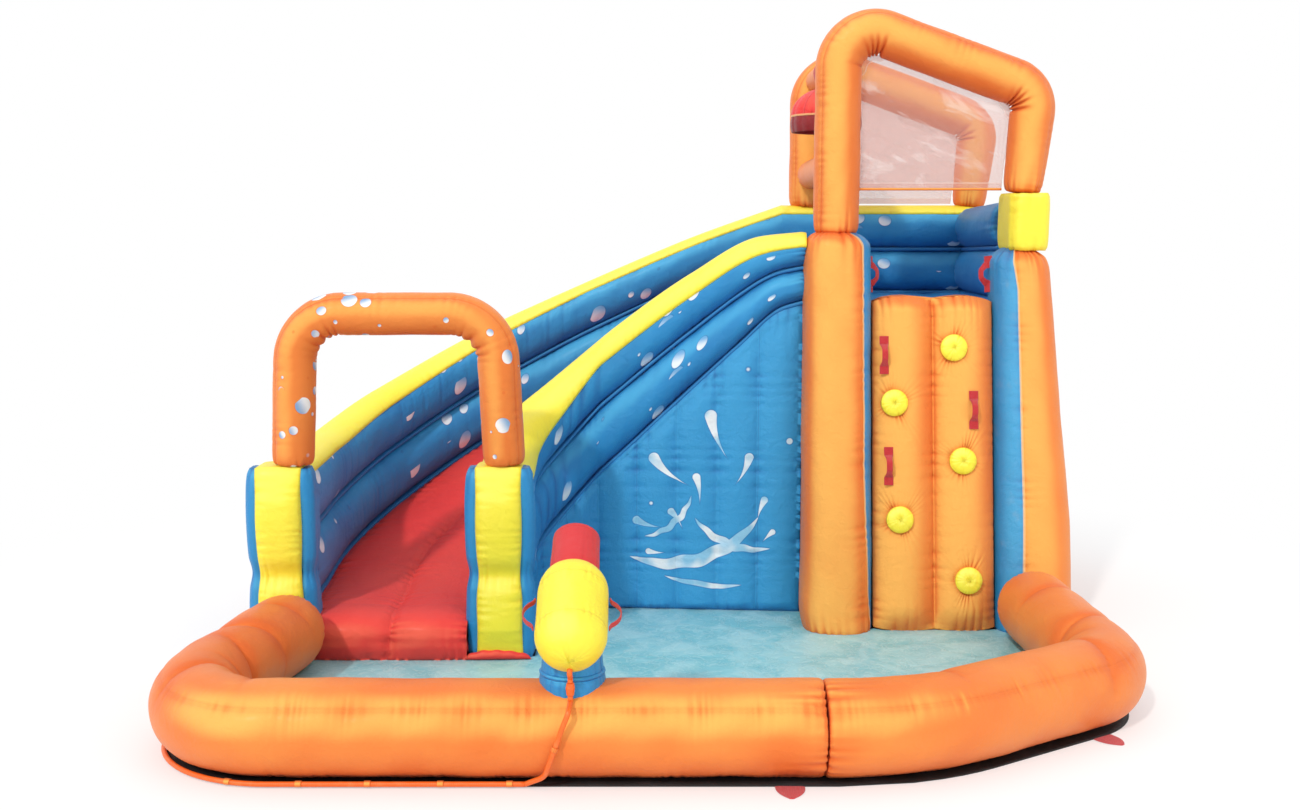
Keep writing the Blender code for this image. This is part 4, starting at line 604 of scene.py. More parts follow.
def cloth(name, slot, main, shade, light, gloss, prints=None, second=None, aim=33, painted_light_share=0.75, spread=0.80):
    """Coated woven cloth: satin, painted shade in its folds and on its underside, darker along seams, a painted
    highlight on its lit side, paler in random patches.

    A painted highlight in the light colour covers the side that faces aim degrees above the front, and painted shade
    deepens the underside, painted_light_share being how strong the highlight is and spread where it starts. prints
    lays ink and its shadow over the cloth; second is its other panel's own three colours; gloss tints the satin
    highlight.
    """
    paint = Paint(name)
    place = paint.place()
    near, dip = paint.kept("seam"), paint.kept("dip")
    wide = paint.noise(place, 1.9, 2.0, 0.5)
    mottle = paint.noise(place, 11.0, 3.0, 0.6)
    x, y, z = paint.split(paint.node("NewGeometry").outputs["Normal"])
    rise, level = math.sin(math.radians(aim)), math.cos(math.radians(aim))
    # painted highlight: faces turned toward aim above the front get the light colour
    lit = (z * rise - y * (0.966 * level) - x * (0.26 * level)).step(spread, 1.0) ** 1.3
    # painted shade: faces turned down get the shade colour
    low = (z * 0.9 - y * 0.3).step(0.25, -0.90)

    def panel(main, shade, light):
        base = paint.mix(wide.step(0.35, 0.70) * 0.2, rgb(main), rgb(light))
        # painted highlight on the lit side, then painted shade on the underside
        base = paint.mix(lit * painted_light_share, base, rgb(light))
        base = paint.mix(low * 0.6, base, rgb(shade))
        # painted shade in folds and hollows, by the depth kept on the mesh
        base = paint.mix(dip.step(0.08, 0.9) * 0.62, base, rgb(shade))
        return paint.mix(near.step(0.0035, 0.0015) * 0.35, base, rgb(shade))

    base = panel(main, shade, light)
    if second:
        across = paint.kept("panel")
        base = paint.mix(across.step(-0.0008, 0.0008), base, panel(*second))
        base = paint.mix(across.abs().step(0.0050, 0.0040) * 0.75, base, rgb("F7C98A"))
    if prints:
        under, share, ink = prints(paint)
        base = paint.mix(under * 0.45, base, rgb(shade))
        base = paint.mix(share, base, ink)
    base = paint.mix(mottle.step(0.55, 0.80) * 0.08, base, rgb(light))
    rough = mottle * 0.10 + 0.37 + dip * 0.08
    return paint.finish(slot, Base_Color=base, Roughness=rough, Normal=paint.bump(sewn_height(paint), 0.85),
                        IOR=1.5, Specular_IOR_Level=0.85, Specular_Tint=rgb(gloss), Coat_Weight=0.06,
                        Coat_Roughness=0.25, Sheen_Weight=0.05, Sheen_Roughness=0.4)


def bubbles(seed, size, amount, low=0.10, high=0.36, patch=1.3, cover=0.48):
    """Print of round bubbles: white discs that turn blue at one side, with a thin printed shadow.

    Each cell of a random net holds one disc of its own radius; patches of the cloth stay free of them.
    """
    def print_on(paint):
        u, v, _ = paint.split(paint.cloth_map())
        spot = paint.join(u / size + seed, v / size + seed * 1.7, 0.5)
        cells = paint.node("TexVoronoi", {"voronoi_dimensions": "3D"}, Vector=spot, Scale=1.0, Randomness=0.9)
        distance = Field(paint, cells.outputs["Distance"])
        tint = paint.split(cells.outputs["Color"])
        radius = tint[0] ** 2 * (high - low) + low
        inside = (radius - distance).step(0.0, 0.03)
        shadow = (radius + 0.035 - distance).step(0.0, 0.04)
        apart = paint.node("VectorMath", {"operation": "SUBTRACT"}, i0=cells.outputs["Position"], i1=spot)
        way = paint.split(apart.outputs[0])
        glow = ((way[0] * 0.5 - way[1]) / radius).step(0.9, -0.6)
        where = paint.noise(spot, patch, 1.0)
        chosen = tint[1].step(1 - amount - 0.01, 1 - amount + 0.01) * where.step(cover, cover + 0.03)
        ink = paint.mix(glow, rgb("6CAADC"), rgb("F4FAFE"))
        return shadow * chosen, inside * chosen * 0.96, ink
    return print_on


def splash(paint):
    """Print of a splash: a fan of thrown drops with bent tails over two crescents of water.

    A drop is the places closer to its axis than radius * (1 - t) ** 1.4, t being how far down its tail they are.
    """
    u, v, _ = paint.split(paint.cloth_map())
    foot_u, foot_v = 0.33, 0.20
    share = under = None
    drops = ((28, 0.46, 0.12, 0.020, 2.2), (46, 0.36, 0.10, 0.017, -2.0), (57, 0.60, 0.20, 0.026, 1.8),
             (72, 0.44, 0.13, 0.019, -1.6), (84, 0.70, 0.21, 0.028, 1.4), (101, 0.52, 0.14, 0.021, -2.1),
             (118, 0.36, 0.10, 0.017, 1.9), (12, 0.36, 0.08, 0.015, 2.0), (140, 0.27, 0.07, 0.014, 2.1))
    for degrees, far, tail, radius, bend in drops:
        c, s = math.cos(math.radians(degrees)), math.sin(math.radians(degrees))
        x, y = u - (foot_u + far * c), v - (foot_v + far * s)
        along_axis, across = x * c + y * s, y * c - x * s
        behind = along_axis.least(0.0)
        across = across - behind * behind * bend
        t = (behind * (-1 / tail)).least(1.0)
        reach = (along_axis.most(0.0) ** 2 + across * across) ** 0.5
        edge = (1 - t) ** 1.4 * radius - reach
        drop, shade = edge.step(0.0, 0.0025), (edge + 0.005).step(0.0, 0.006) * t.step(1.0, 0.9)
        share = drop if share is None else share.most(drop)
        under = shade if under is None else under.most(shade)
    crescents = ((0.60, 0.72, 0.50, 0.032, 252, 38), (0.20, 0.62, 0.33, 0.020, 292, 34),
                 (0.74, 0.60, 0.26, 0.016, 228, 34), (0.36, 0.86, 0.74, 0.014, 276, 14))
    for middle_u, middle_v, radius, wide, middle, span in crescents:
        x, y = u - middle_u, v - middle_v
        reach = (x * x + y * y) ** 0.5
        bearing = y.bearing(x)
        turned = ((bearing - math.radians(middle)) / 2).sin().abs() / math.sin(math.radians(span) / 2)
        full = (1 - turned * turned).most(0.0)
        ripple = (bearing * 21.0).sin() * 0.005 * full
        edge = full ** 0.8 * wide - (reach - radius + ripple).abs()
        share = share.most(edge.step(0.0, 0.0030) * full.step(0.0, 0.05))
        under = under.most((edge + 0.006).step(0.0, 0.007) * full.step(0.0, 0.08))
    spot = paint.join(u * 6.5 + 0.3, v * 6.5 + 0.6, 0.0)
    cells = paint.node("TexVoronoi", Vector=spot, Scale=1.0, Randomness=0.85)
    tint = paint.split(cells.outputs["Color"])
    edge = tint[0] ** 2 * 0.12 + 0.035 - Field(paint, cells.outputs["Distance"])
    some = tint[1].step(0.60, 0.62) * v.step(0.14, 0.18)
    share, under = share.most(edge.step(0.0, 0.02) * some), under.most((edge + 0.03).step(0.0, 0.03) * some)
    ink = paint.mix(paint.noise(paint.join(u, v, 0.0), 9.0, 1.0).step(0.38, 0.62), rgb("9CD2EE"), rgb("FBFEFF"))
    return under, share * 0.94, ink


GOLD, SKY, LEMON, ROSE = "FFD27A", "A8E4FF", "FFFBC0", "FF9A8C"
# Each palette: main colour, a darker one for painted shade, a paler one for painted highlight and paler patches
ORANGES = ("EC7B3B", "E0561F", "FFC062")
ORANGE = cloth("coated_orange_cloth", "orange_cloth", *ORANGES, GOLD)
ORANGE_UPRIGHT = cloth("coated_orange_cloth_of_upright_parts", "orange_cloth", *ORANGES, GOLD, aim=11,
                       spread=0.66)
ORANGE_PRINT = cloth("orange_cloth_with_bubbles", "orange_cloth", *ORANGES, GOLD,
                     bubbles(2.0, 0.085, 0.85, 0.10, 0.42, 0.8, 0.30), aim=20, painted_light_share=0.55)
ORANGE_COLUMN = cloth("orange_cloth_with_blue_inner_panel", "orange_cloth", *ORANGES, GOLD, aim=4, spread=0.72,
                      second=("1590CE", "2464AE", "2CAAE2"))
BLUES = ("2689CB", "22509E", "4FB4E4")
BLUE = cloth("coated_blue_cloth", "blue_cloth", *BLUES, SKY)
BLUE_PRINT = cloth("blue_cloth_with_bubbles", "blue_cloth", *BLUES, SKY,
                   bubbles(5.3, 0.125, 0.70, 0.08, 0.42, 0.7, 0.38))
SPLASH = cloth("blue_cloth_with_splash", "blue_cloth", "2C8CCB", "2459A6", "48AEE2", SKY, splash, aim=5,
               painted_light_share=0.4)
YELLOW = cloth("coated_yellow_cloth", "yellow_cloth", "FEEF3A", "EFC81E", "FFF768", LEMON)
RED = cloth("coated_red_cloth", "red_cloth", "F0403E", "C02A2E", "F86A52", ROSE, aim=20)
# the bucket's band below the dome gets dark colours that paint its shade
BUCKET_CLOTH = cloth("red_cloth_with_painted_shade_band", "red_cloth", "E63239", "A3101F", "F25C4A", ROSE,
                     second=("84202C", "5E141E", "9A323A"))
RED_SLEEVE = cloth("red_cloth_of_sleeve", "red_cloth", "D2303A", "A81A26", "E4463F", ROSE, aim=20)


def floor_cloth():
    """Pool floor: pale aqua sheet with flat crinkles."""
    paint = Paint("aqua_floor_cloth")
    place = paint.place()
    broad = paint.noise(place, 5.0, 4.0, 0.6, 0.8)
    veins = (paint.noise(place, 14.0, 3.0, 0.6, 1.2) - 0.5).abs().step(0.0, 0.05)
    base = paint.mix(broad.step(0.35, 0.65), rgb("7CC4CF"), rgb("A3D8DF"))
    base = paint.mix((1 - veins) * 0.35, base, rgb("C9ECEF"))
    height = broad * 0.010 - (1 - veins) * 0.0016 + paint.noise(place, 160.0, 1.0) * 0.0004
    return paint.finish("pool_floor_cloth", Base_Color=base, Roughness=broad * 0.2 + 0.34,
                        Normal=paint.bump(height, 0.8), Coat_Weight=0.15, Coat_Roughness=0.25)


def base_cloth():
    """Black base cloth: coarse weave and dusty wear."""
    paint = Paint("black_base_cloth")
    place = paint.place()
    x, y, _ = paint.split(place)
    threads = (x * (FULL / 0.004)).sin() * (y * (FULL / 0.004)).sin()
    dust = paint.noise(place, 7.0, 4.0, 0.65)
    base = paint.mix(dust.step(0.45, 0.75) * 0.5, rgb("151618"), rgb("35363A"))
    height = threads * 0.0004 + paint.noise(place, 30.0, 3.0) * 0.004
    return paint.finish("base_cloth", Base_Color=base, Roughness=dust * 0.2 + 0.55,
                        Normal=paint.bump(height, 0.7))


def netting():
    """Fine rosy net: open holes between threads, a doubled band and stitches along its edges, pale creases painted as
    highlights.
    """
    paint = Paint("fine_net")
    u, v, _ = paint.split(paint.cloth_map())
    near = paint.kept("seam")
    holes = (u * (math.pi / 0.0032)).sin().abs().least((v * (math.pi / 0.0032)).sin().abs())
    threads = holes.step(0.62, 0.30)
    band = near.step(0.028, 0.026)
    stitch = (near - 0.027).abs().step(0.0028, 0.0012)
    creases = paint.noise(paint.join(u * 3.0 - v * 2.0, v * 11.0 + u * 5.0, 0.0), 1.0, 3.0, 0.6, 0.8)
    # painted highlight: creases paler and more opaque
    pale = creases.step(0.52, 0.70)
    alpha = (threads * 0.14 + 0.22 + pale * 0.14 + band * 0.12 + stitch * 0.16).least(1.0)
    base = paint.mix(pale * 0.7, rgb("DDAA9E"), rgb("F8ECE8"))
    base = paint.mix(stitch * 0.6, base, rgb("FBEDE6"))
    height = threads * 0.0006 + creases * 0.016
    return paint.finish("net", Base_Color=base, Roughness=threads * 0.1 + 0.50, Alpha=alpha,
                        Normal=paint.bump(height, 0.7))


def webbing():
    """Red woven strap: slanting ribs across it and firmer edges."""
    paint = Paint("red_webbing")
    u, v, _ = paint.split(paint.cloth_map())
    ribs = ((u + (v * (FULL / 0.012)).sin() * 0.0008) * (FULL / 0.0022)).sin()
    lanes = (v * (FULL / 0.006)).sin()
    worn = paint.noise(paint.place(), 60.0, 3.0)
    base = paint.mix(ribs.step(-0.6, 0.8), rgb("B8141F"), rgb("EC343A"))
    base = paint.mix(worn.step(0.55, 0.8) * 0.3, base, rgb("EE5A66"))
    return paint.finish("webbing", Base_Color=base, Roughness=worn * 0.15 + 0.55, Sheen_Weight=0.25,
                        Sheen_Roughness=0.5, Normal=paint.bump(ribs * 0.0005 + lanes * 0.0003, 0.9))


def rubber_hose():
    """Orange hose: smooth with faint rings and dust."""
    paint = Paint("orange_hose_plastic")
    u, _, _ = paint.split(paint.cloth_map())
    dust = paint.noise(paint.place(), 40.0, 3.0)
    rings = (u * (FULL / 0.006)).sin()
    base = paint.mix(dust.step(0.45, 0.75) * 0.4, rgb("EE6A1C"), rgb("F08A4A"))
    return paint.finish("hose", Base_Color=base, Roughness=dust * 0.2 + 0.30,
                        Normal=paint.bump(rings * 0.0003 + dust * 0.0006, 0.6))


def moulded_plastic():
    """Orange moulded plastic: fine grain, faint parting marks, scuffs."""
    paint = Paint("orange_moulded_plastic")
    place = paint.place()
    grain = paint.noise(place, 900.0, 2.0)
    scuff = paint.noise(place, 120.0, 4.0, 0.7)
    base = paint.mix(scuff.step(0.5, 0.75) * 0.4, rgb("E8651C"), rgb("F39A5E"))
    return paint.finish("coupling_plastic", Base_Color=base, Roughness=scuff * 0.2 + 0.35,
                        Normal=paint.bump(grain * 0.0002 + scuff * 0.0003, 0.7))


FLOOR_CLOTH, BASE_CLOTH, NETTING, WEBBING = floor_cloth(), base_cloth(), netting(), webbing()
HOSE, PLASTIC = rubber_hose(), moulded_plastic()


# Pool wall and ground sheets

def pool_line():
    """Centre line of the pool wall from the left post round the front to the right column."""
    corners = ((POOL_LEFT + LEFT_LEAN, POST_FRONT_Y - PAD_THICK - 4 * GAP),
               (POOL_LEFT, (POST_FRONT_Y + POOL_FRONT) / 2 - 0.12), (POOL_LEFT, POOL_FRONT),
               (RIGHT_CUT[0], POOL_FRONT), (POOL_RIGHT, RIGHT_CUT[1]),
               (POOL_RIGHT - RIGHT_LEAN, COLUMN_FRONT - 2 * GAP))
    return filleted(corners, POOL_RADII)


def kinks(run, angle, places):
    """Sharp folds across a tube: depth * exp(-|run - place - skew * sin| / width), fading away from one side.

    Each place is (run, depth, width, side it faces, how far round it reaches, skew).
    """
    total = np.zeros((len(run), len(angle)))
    for place, depth, width, side, reach, skew in places:
        apart = turned_from(angle, side)
        far = np.abs(run[:, None] - place - skew * np.sin(apart))
        total += depth * np.exp(-(far / width) ** 0.8) * np.exp(-(apart / reach) ** 2)
    return total


def pool_walls():
    """Wall chambers sewn end to end; a flat where they rest, one long seam outside near the top."""
    line = pool_line()
    run = along(line)
    corner = run[np.argmin(np.hypot(line[:, 0] - POOL_LEFT - POOL_RADII[1], line[:, 1] - POOL_FRONT))]
    ends = (0.0, corner + FRONT_STRAIGHT, run[-1])
    butt, free = (0.016, 0.975), (0.13, 0.60)
    left_folds = ((0.47, 0.036, 0.030, TOP + 0.2, 1.5, 0.06), (0.66, 0.030, 0.024, INNER + 0.5, 0.9, -0.05),
                  (0.95, 0.024, 0.022, TOP + 0.1, 0.8, 0.05), (1.22, 0.014, 0.020, INNER + 0.9, 0.7, 0.04),
                  (0.20, 0.010, 0.025, TOP - 0.4, 0.8, 0.03))
    total = ends[2] - ends[1]
    right_folds = ((total - 0.30, 0.016, 0.025, TOP + 0.1, 1.0, 0.05),
                   (total - 0.76, 0.030, 0.026, INNER + 0.9, 1.1, 0.06),
                   (total - 1.10, 0.020, 0.022, TOP + 0.3, 0.8, -0.05),
                   (0.42, 0.014, 0.022, INNER + 0.9, 0.8, 0.04))
    plans = (("left_and_front", ("pool_wall_left", "pool_wall_front"), free, butt, left_folds),
             ("right", ("pool_wall_right",), butt, free, right_folds))
    a, b, angle = section(AROUND, 2.0)
    for (side, nodes, first, last, folds), begin, end in zip(plans, ends, ends[1:]):
        shares = np.linspace(begin + GAP, end - GAP, round((end - begin) / STEP) + 1) / run[-1]
        part = resample(line, shares)
        size = shoulders(along(part), first, last)
        rings = part[:, None] + sideways(part)[:, None] * (a * WALL_RADIUS * size[:, None])[..., None]
        rings[..., 2] = WALL_CENTRE + b * WALL_RADIUS * size[:, None]
        bends = 0.024 * bend_folds(part, angle, 2.0, 0.085) + kinks(along(part), angle, folds)
        rings[..., 2] = np.maximum(rings[..., 2], MAT_TOP)
        puff(f"pool_wall_{side}_skin", rings, angle, ORANGE, nodes, seams=(TOP + 0.87, BOTTOM - 0.5),
             seed=1.0 + len(nodes), extra=bends, gather=0.014, slack=0.006, reach=0.04, spacing=0.026)


def plate(name, outline, low, high, finish, node, ripple=0.0, spacing=0.030):
    """A thin sheet over a plan outline: a grid of rows between its left and right edges.

    Each row runs from the leftmost to the rightmost edge at its own y, so the outline is met exactly.
    """
    outline = np.array(outline)
    y = np.linspace(outline[:, 1].min() + 1e-4, outline[:, 1].max() - 1e-4,
                    round(np.ptp(outline[:, 1]) / spacing) + 1)
    start, stop = outline, np.roll(outline, -1, 0)
    edges = []
    for level in y:
        cut = (start[:, 1] - level) * (stop[:, 1] - level) < 0
        share = (level - start[cut, 1]) / (stop[cut, 1] - start[cut, 1])
        hits = start[cut, 0] + share * (stop[cut, 0] - start[cut, 0])
        edges.append((hits.min(), hits.max()))
    edges = np.array(edges)
    across = np.linspace(0, 1, round(np.ptp(outline[:, 0]) / spacing) + 1)
    x = edges[:, :1] + (edges[:, 1:] - edges[:, :1]) * across
    level = np.broadcast_to(y[:, None], x.shape)
    lift = ripple * (0.5 + 0.25 * np.sin(x / 0.11 + 2 * np.sin(level / 0.17))
                     + 0.25 * np.sin(level / 0.09 + x / 0.23))
    over = np.stack([x, level, high - lift], -1)
    under = np.stack([x, level, np.full_like(x, low)], -1)
    grid = np.concatenate([over, under[:, ::-1]], axis=1)
    made = skin(name, grid, finish, node, lay=(grid[..., 0], grid[..., 1]))


def slide_lines():
    """Plan centre lines of the rear and front slide walls, from the deck to the exit."""
    rear = filleted(((SLIDE_START_X, REAR_LINE_Y), (REAR_EXIT_X, REAR_LINE_Y), (REAR_EXIT_X, WALL_END_Y)),
                    (REAR_TURN,))
    front = filleted(((SLIDE_START_X, FRONT_LINE_Y), (FRONT_EXIT_X, FRONT_LINE_TURN_Y),
                      (FRONT_EXIT_X, WALL_END_Y)),
                     (FRONT_TURN,))
    return rear, front


def ground_sheets():
    """Black base cloth under everything, and the aqua pool floor inside the wall."""
    line = pool_line()
    rear, front = slide_lines()
    edge = beside(line, -(WALL_RADIUS - MAT_MARGIN))
    outline = [(x, y) for x, y, _ in edge]
    outline += [(TOWER_RIGHT, COLUMN_FRONT + 0.1), (TOWER_RIGHT, REAR_LINE_Y + WALL_HALF)]
    outline += [(x, y) for x, y, _ in beside(rear, -WALL_HALF)]
    plate("base_sheet", outline, 0.0, MAT_THICK, BASE_CLOTH, "ground_mat")
    floor = [(x, y) for x, y, _ in beside(line, FLOOR_EDGE - 0.012) if y < POST_FRONT_Y - 0.03]
    floor += [(line[-1, 0], line[-1, 1] - 0.02), (COLUMN_RIGHT_IN + 0.03, CLIMB_FRONT + 0.03),
              (FLOOR_STEP_X, CLIMB_FRONT + 0.03)]
    foot = beside(even(front, 0.02), BED_LAND + PANEL_THICK * 0.5)
    foot = [(x, y) for x, y, _ in foot if y > WALL_END_Y + 0.01]
    floor += [(FLOOR_STEP_X, foot[0][1])] + [(x, y) for x, y in foot if x < FLOOR_STEP_X - 0.01]
    side = FRONT_EXIT_X + POST_HALF - 0.006
    floor += [(side, WALL_END_Y), (side, TOE_FRONT_Y + 0.06), (REAR_EXIT_X, TOE_FRONT_Y + 0.06)]
    plate("pool_floor_sheet", floor, MAT_TOP + 0.0002, MAT_TOP + FLOOR_THICK, FLOOR_CLOTH, "pool_floor",
          0.0018, 0.020)


# Slide

def slide_wall(side, line, top, deck):
    """Two stacked tubes over the bed's edge and the yellow strip that covers the upper one."""
    dense = even(line)
    share = along(dense) / along(dense)[-1]
    start = TOWER_RIGHT - 0.012 if deck else SLIDE_START_X + 0.024
    back = dense[0] - directions(dense)[0] * np.array((start - SLIDE_START_X, STEP))[:, None]
    level = even(back)
    dense, share = np.vstack([level, dense]), np.concatenate([np.zeros(len(level)), share])
    low = profile(BED_PROFILE, share) + GAP
    high = profile(top, share)
    middle = (low + high) / 2
    run = along(dense)
    size = shoulders(run, (0.05, 0.80) if deck else (0.03, 0.92), (0.03, 0.92))
    levels = (("lower", low, middle - GAP), ("upper", middle + GAP, high - STRIP_THICK))
    for number, (which, base, crest) in enumerate(levels):
        rings, angle = upright(dense, base, crest, WALL_HALF, size)
        puff(f"{side}_wall_{which}_skin", rings, angle, BLUE_PRINT, f"{side}_wall_{which}", seams=(TOP, BOTTOM),
             seed=2.0 + number, extra=0.016 * bend_folds(dense, angle, 3.0 + number, 0.10), crease=0.010,
             gather=0.010, slack=0.005, reach=0.06, spacing=0.055)
    inner = slice(2, -2)
    join_strip(side + "_wall_join", dense[inner], middle[inner], WALL_HALF * 0.62)
    join_strip(side + "_wall_base", dense[inner], low[inner] - 0.002, WALL_HALF * 0.66, tall=0.016)
    first, last = (math.radians(40), math.radians(140)) if deck else (math.radians(14), math.radians(140))
    wall_strip(side, dense, rings, angle, first, last)


def join_strip(name, line, level, half, tall=0.014):
    """Sewn join between two stacked tubes: a thin flat band of their cloth along the line.

    Its section is |offset| = half * sqrt(1 - s ** 4) at height level + tall * s, s from -1 to 1.
    """
    s = np.linspace(-1, 1, 9)
    wide = half * np.sqrt(np.clip(1 - s ** 4, 0, 1)) + 0.001
    offset, rise = np.concatenate([wide, -wide[::-1]]), np.concatenate([s, s[::-1]]) * tall
    grid = line[:, None] + sideways(line)[:, None] * offset[None, :, None]
    grid[..., 2] = np.broadcast_to(level, len(line))[:, None] + rise
    # dip 0.6 paints the whole strip with shade, as in the crease between the tubes
    skin(name, grid, BLUE, dip=0.6)


def wall_strip(side, line, upper, angle, first, last):
    """Yellow strip along the top of a wall: thin at its gathered edges, padded in the middle."""
    turn = np.linspace(first, last, 30)
    t = np.linspace(-1, 1, 30)
    k = np.interp(turn, angle, np.arange(len(angle)))
    low, share = np.floor(k).astype(int), (k % 1)[None, :, None]
    base = upper[:, low] * (1 - share) + upper[:, (low + 1) % len(angle)] * share
    away = unit(base - upper.mean(axis=1, keepdims=True))
    run = along(line)
    edge = np.minimum(t + 1, 1 - t) * 0.11
    folds = pleat(run, 0.040, 1.0)[:, None] * (t < 0) + pleat(run, 0.037, 4.0)[:, None] * (t >= 0)
    dip = folds * np.exp(-edge / 0.025)
    lift = (STRIP_THICK + 0.004) * np.sqrt(np.clip(1 - t ** 6, 0, 1)) * (1 - 0.75 * dip) + 0.0006
    grid = np.concatenate([base + away * lift[..., None], (base - away * 0.012)[:, ::-1]], axis=1)[1:-1]
    seam = face_and_back(np.broadcast_to(edge, dip.shape) + 0.004)[1:-1]
    skin(f"{side}_wall_strip_skin", grid, YELLOW, f"{side}_wall_strip", seam=seam, dip=face_and_back(dip)[1:-1])


def slide_bed(rear, front):
    """Red bed and its front bolster as one cloth: two soft crowns, a gathered seam between, folds along the walls.

    After the bed's last row the top follows an arc (y, z) down the bolster's face, and the underside its base.
    """
    rows = round(along(rear)[-1] / STEP)
    share = np.linspace(0, 1, rows)
    rear, front = resample(rear, share), resample(front, share)
    clear = WALL_HALF - 0.024
    height = profile(BED_PROFILE, share)
    inner_rear, inner_front = beside(rear, clear), beside(front, -clear)
    s = np.linspace(0, 1, 100)
    middle = inner_rear[:, None] + (inner_front - inner_rear)[:, None] * s[None, :, None]
    middle[..., 2] = height[:, None]
    edges = [beside(rear, -BED_LAND), beside(front, BED_LAND)]
    for edge in edges:
        edge[:, 2] = height - 0.004
    base = middle[:, ::-12].copy()
    base[..., 2] = height[:, None] - BED_THICK
    turn = np.linspace(0.04, 1, 30)
    reach = WALL_END_Y - GAP - TOE_FRONT_Y
    y = WALL_END_Y - reach * np.clip(np.sin(turn * math.pi * 0.62) ** 0.8 * 1.02, 0, 1)
    z = MAT_TOP + (height[-1] + 0.004 - MAT_TOP) * np.clip(1 - turn ** 2.3, 0, 1)
    left, right = REAR_EXIT_X + POST_HALF + 0.001, FRONT_EXIT_X - POST_HALF - 0.001
    face = np.zeros((len(turn), len(s), 3))
    spread = 0.012 * np.clip(turn * 3, 0, 1)[:, None]
    face[..., 0], face[..., 1], face[..., 2] = (left - spread + (right - left + 2 * spread) * s,
                                                y[:, None], z[:, None])
    under_y = np.interp(turn, (0, 0.4, 1), (WALL_END_Y, WALL_END_Y - 0.008, TOE_FRONT_Y + 0.045))
    under_z = np.interp(turn, (0, 0.4, 1), (height[-1] - BED_THICK, MAT_TOP + 0.001, MAT_TOP + 0.0002))
    under = face[:, ::-12].copy()
    under[..., 1], under[..., 2] = under_y[:, None], under_z[:, None]
    middle, base = np.vstack([middle, face]), np.vstack([base, under])
    edges = [np.vstack([edge, face[:, k]]) for edge, k in zip(edges, (0, -1))]

    run = along(middle[:, 50])
    way = directions(middle[:, 50])
    out = np.tile(UP, (len(way), 1))
    bolster = np.arange(len(run)) >= rows - 8
    out[bolster] = unit(np.stack([0 * way[bolster, 0], way[bolster, 2], -way[bolster, 1]], 1))
    crown = np.abs(np.sin(FULL * s)) ** 0.8 - 0.4 * np.exp(-((s - 0.5) / 0.03) ** 2)
    end = np.clip(np.minimum(run, (run[-1] - run) * 1.6) / 0.10, 0, 1)[:, None]
    near = np.minimum(np.abs(s - 0.5), np.minimum(s, 1 - s)) * 0.62
    folds = pleat(run, 0.048, 2.0)[:, None] * (s < 0.5) + pleat(run, 0.044, 5.0)[:, None] * (s >= 0.5)
    dip = np.exp(-near / 0.045) * folds
    dip = dip + 0.8 * np.exp(-(run[-1] - run) / 0.05)[:, None] * pleat(s * 0.6, 0.045, 3.0)
    raised = BED_SWELL * 1.4 * crown * end - 0.011 * dip - 0.006 * unevenness(run, s * FULL, 2.0)
    top = middle + out[:, None] * raised[..., None]
    grid = np.concatenate([edges[0][:, None], top, edges[1][:, None], base], axis=1)
    grid[..., 2] = np.maximum(grid[..., 2], MAT_TOP + 0.0002)
    blank = np.zeros((len(run), base.shape[1] + 1))
    seam = np.concatenate([blank[:, :1] + FAR, np.broadcast_to(near, dip.shape), blank + FAR], axis=1)
    dip = np.concatenate([blank[:, :1], dip, blank], axis=1)
    skin("slide_bed_and_bolster", grid, RED, ("slide_bed", "slide_toe"), seam=seam, dip=np.clip(dip, 0, 1))


def side_panel(name, line, side, finish, node, seed):
    """Upright cushion under a slide wall; its channels are |sin| bulges between sewn lines."""
    rows = round(along(line)[-1] / STEP)
    share = np.linspace(0.0008, 0.991, rows)
    line = resample(line, share)
    line[0] -= directions(line)[0] * 0.012
    top = np.minimum.accumulate(profile(BED_PROFILE, share)) - GAP
    run = along(line)
    swell = PANEL_BULGE * np.abs(np.sin(math.pi * share / PANEL_CHANNEL)) ** 0.7
    h = np.concatenate([[0, 0.5, 0.97, 1.0, 1.0], 1 - np.linspace(0.004, 0.14, 10) ** 1.15,
                        np.linspace(0.875, 0.03, 96), [0.015, 0.0]])
    rim = np.interp(np.linspace(0, 1, 10), (0, 0.35, 1), (0.72, 0.93, 1.0))
    reach = np.concatenate([[0, 0, 0, 0.12, 0.55], rim, np.ones(96), [0.9, 0.6]])
    full = np.concatenate([np.zeros(5), np.linspace(0.15, 1, 10), np.ones(96), [0.6, 0]])
    tall = (top - MAT_TOP)[:, None]
    level = h * tall
    to_seam = off_whole(share / PANEL_CHANNEL)[:, None] * PANEL_CHANNEL * run[-1] + 0 * level
    to_top = tall - level
    near = np.minimum(to_seam, to_top + 0.004)
    dip = np.exp(-to_seam / 0.050) * pleat(level / 0.9, 0.060, seed) * 0.8
    dip = dip + np.exp(-to_top / 0.07) * pleat(run, 0.045, seed + 1)[:, None] * 0.9
    dip = dip + np.exp(-level / 0.06) * pleat(run, 0.052, seed + 2)[:, None] * 0.7
    depth = (dip * 0.010 + 0.005 * unevenness(run, h * FULL, seed)) * (full > 0.5)
    out = PANEL_THICK * reach + swell[:, None] * full - np.minimum(depth, 0.03)
    way = (sideways(line) * side)[:, None]
    grid = line[:, None] + way * (BED_LAND + GAP + out)[..., None]
    grid[..., 2] = MAT_TOP + level
    seen = np.arange(len(h)) > 4
    skin(name, grid, finish, node, seam=np.where(seen, near, FAR), dip=np.clip(dip, 0, 1),
         lay=(run[:, None], level))


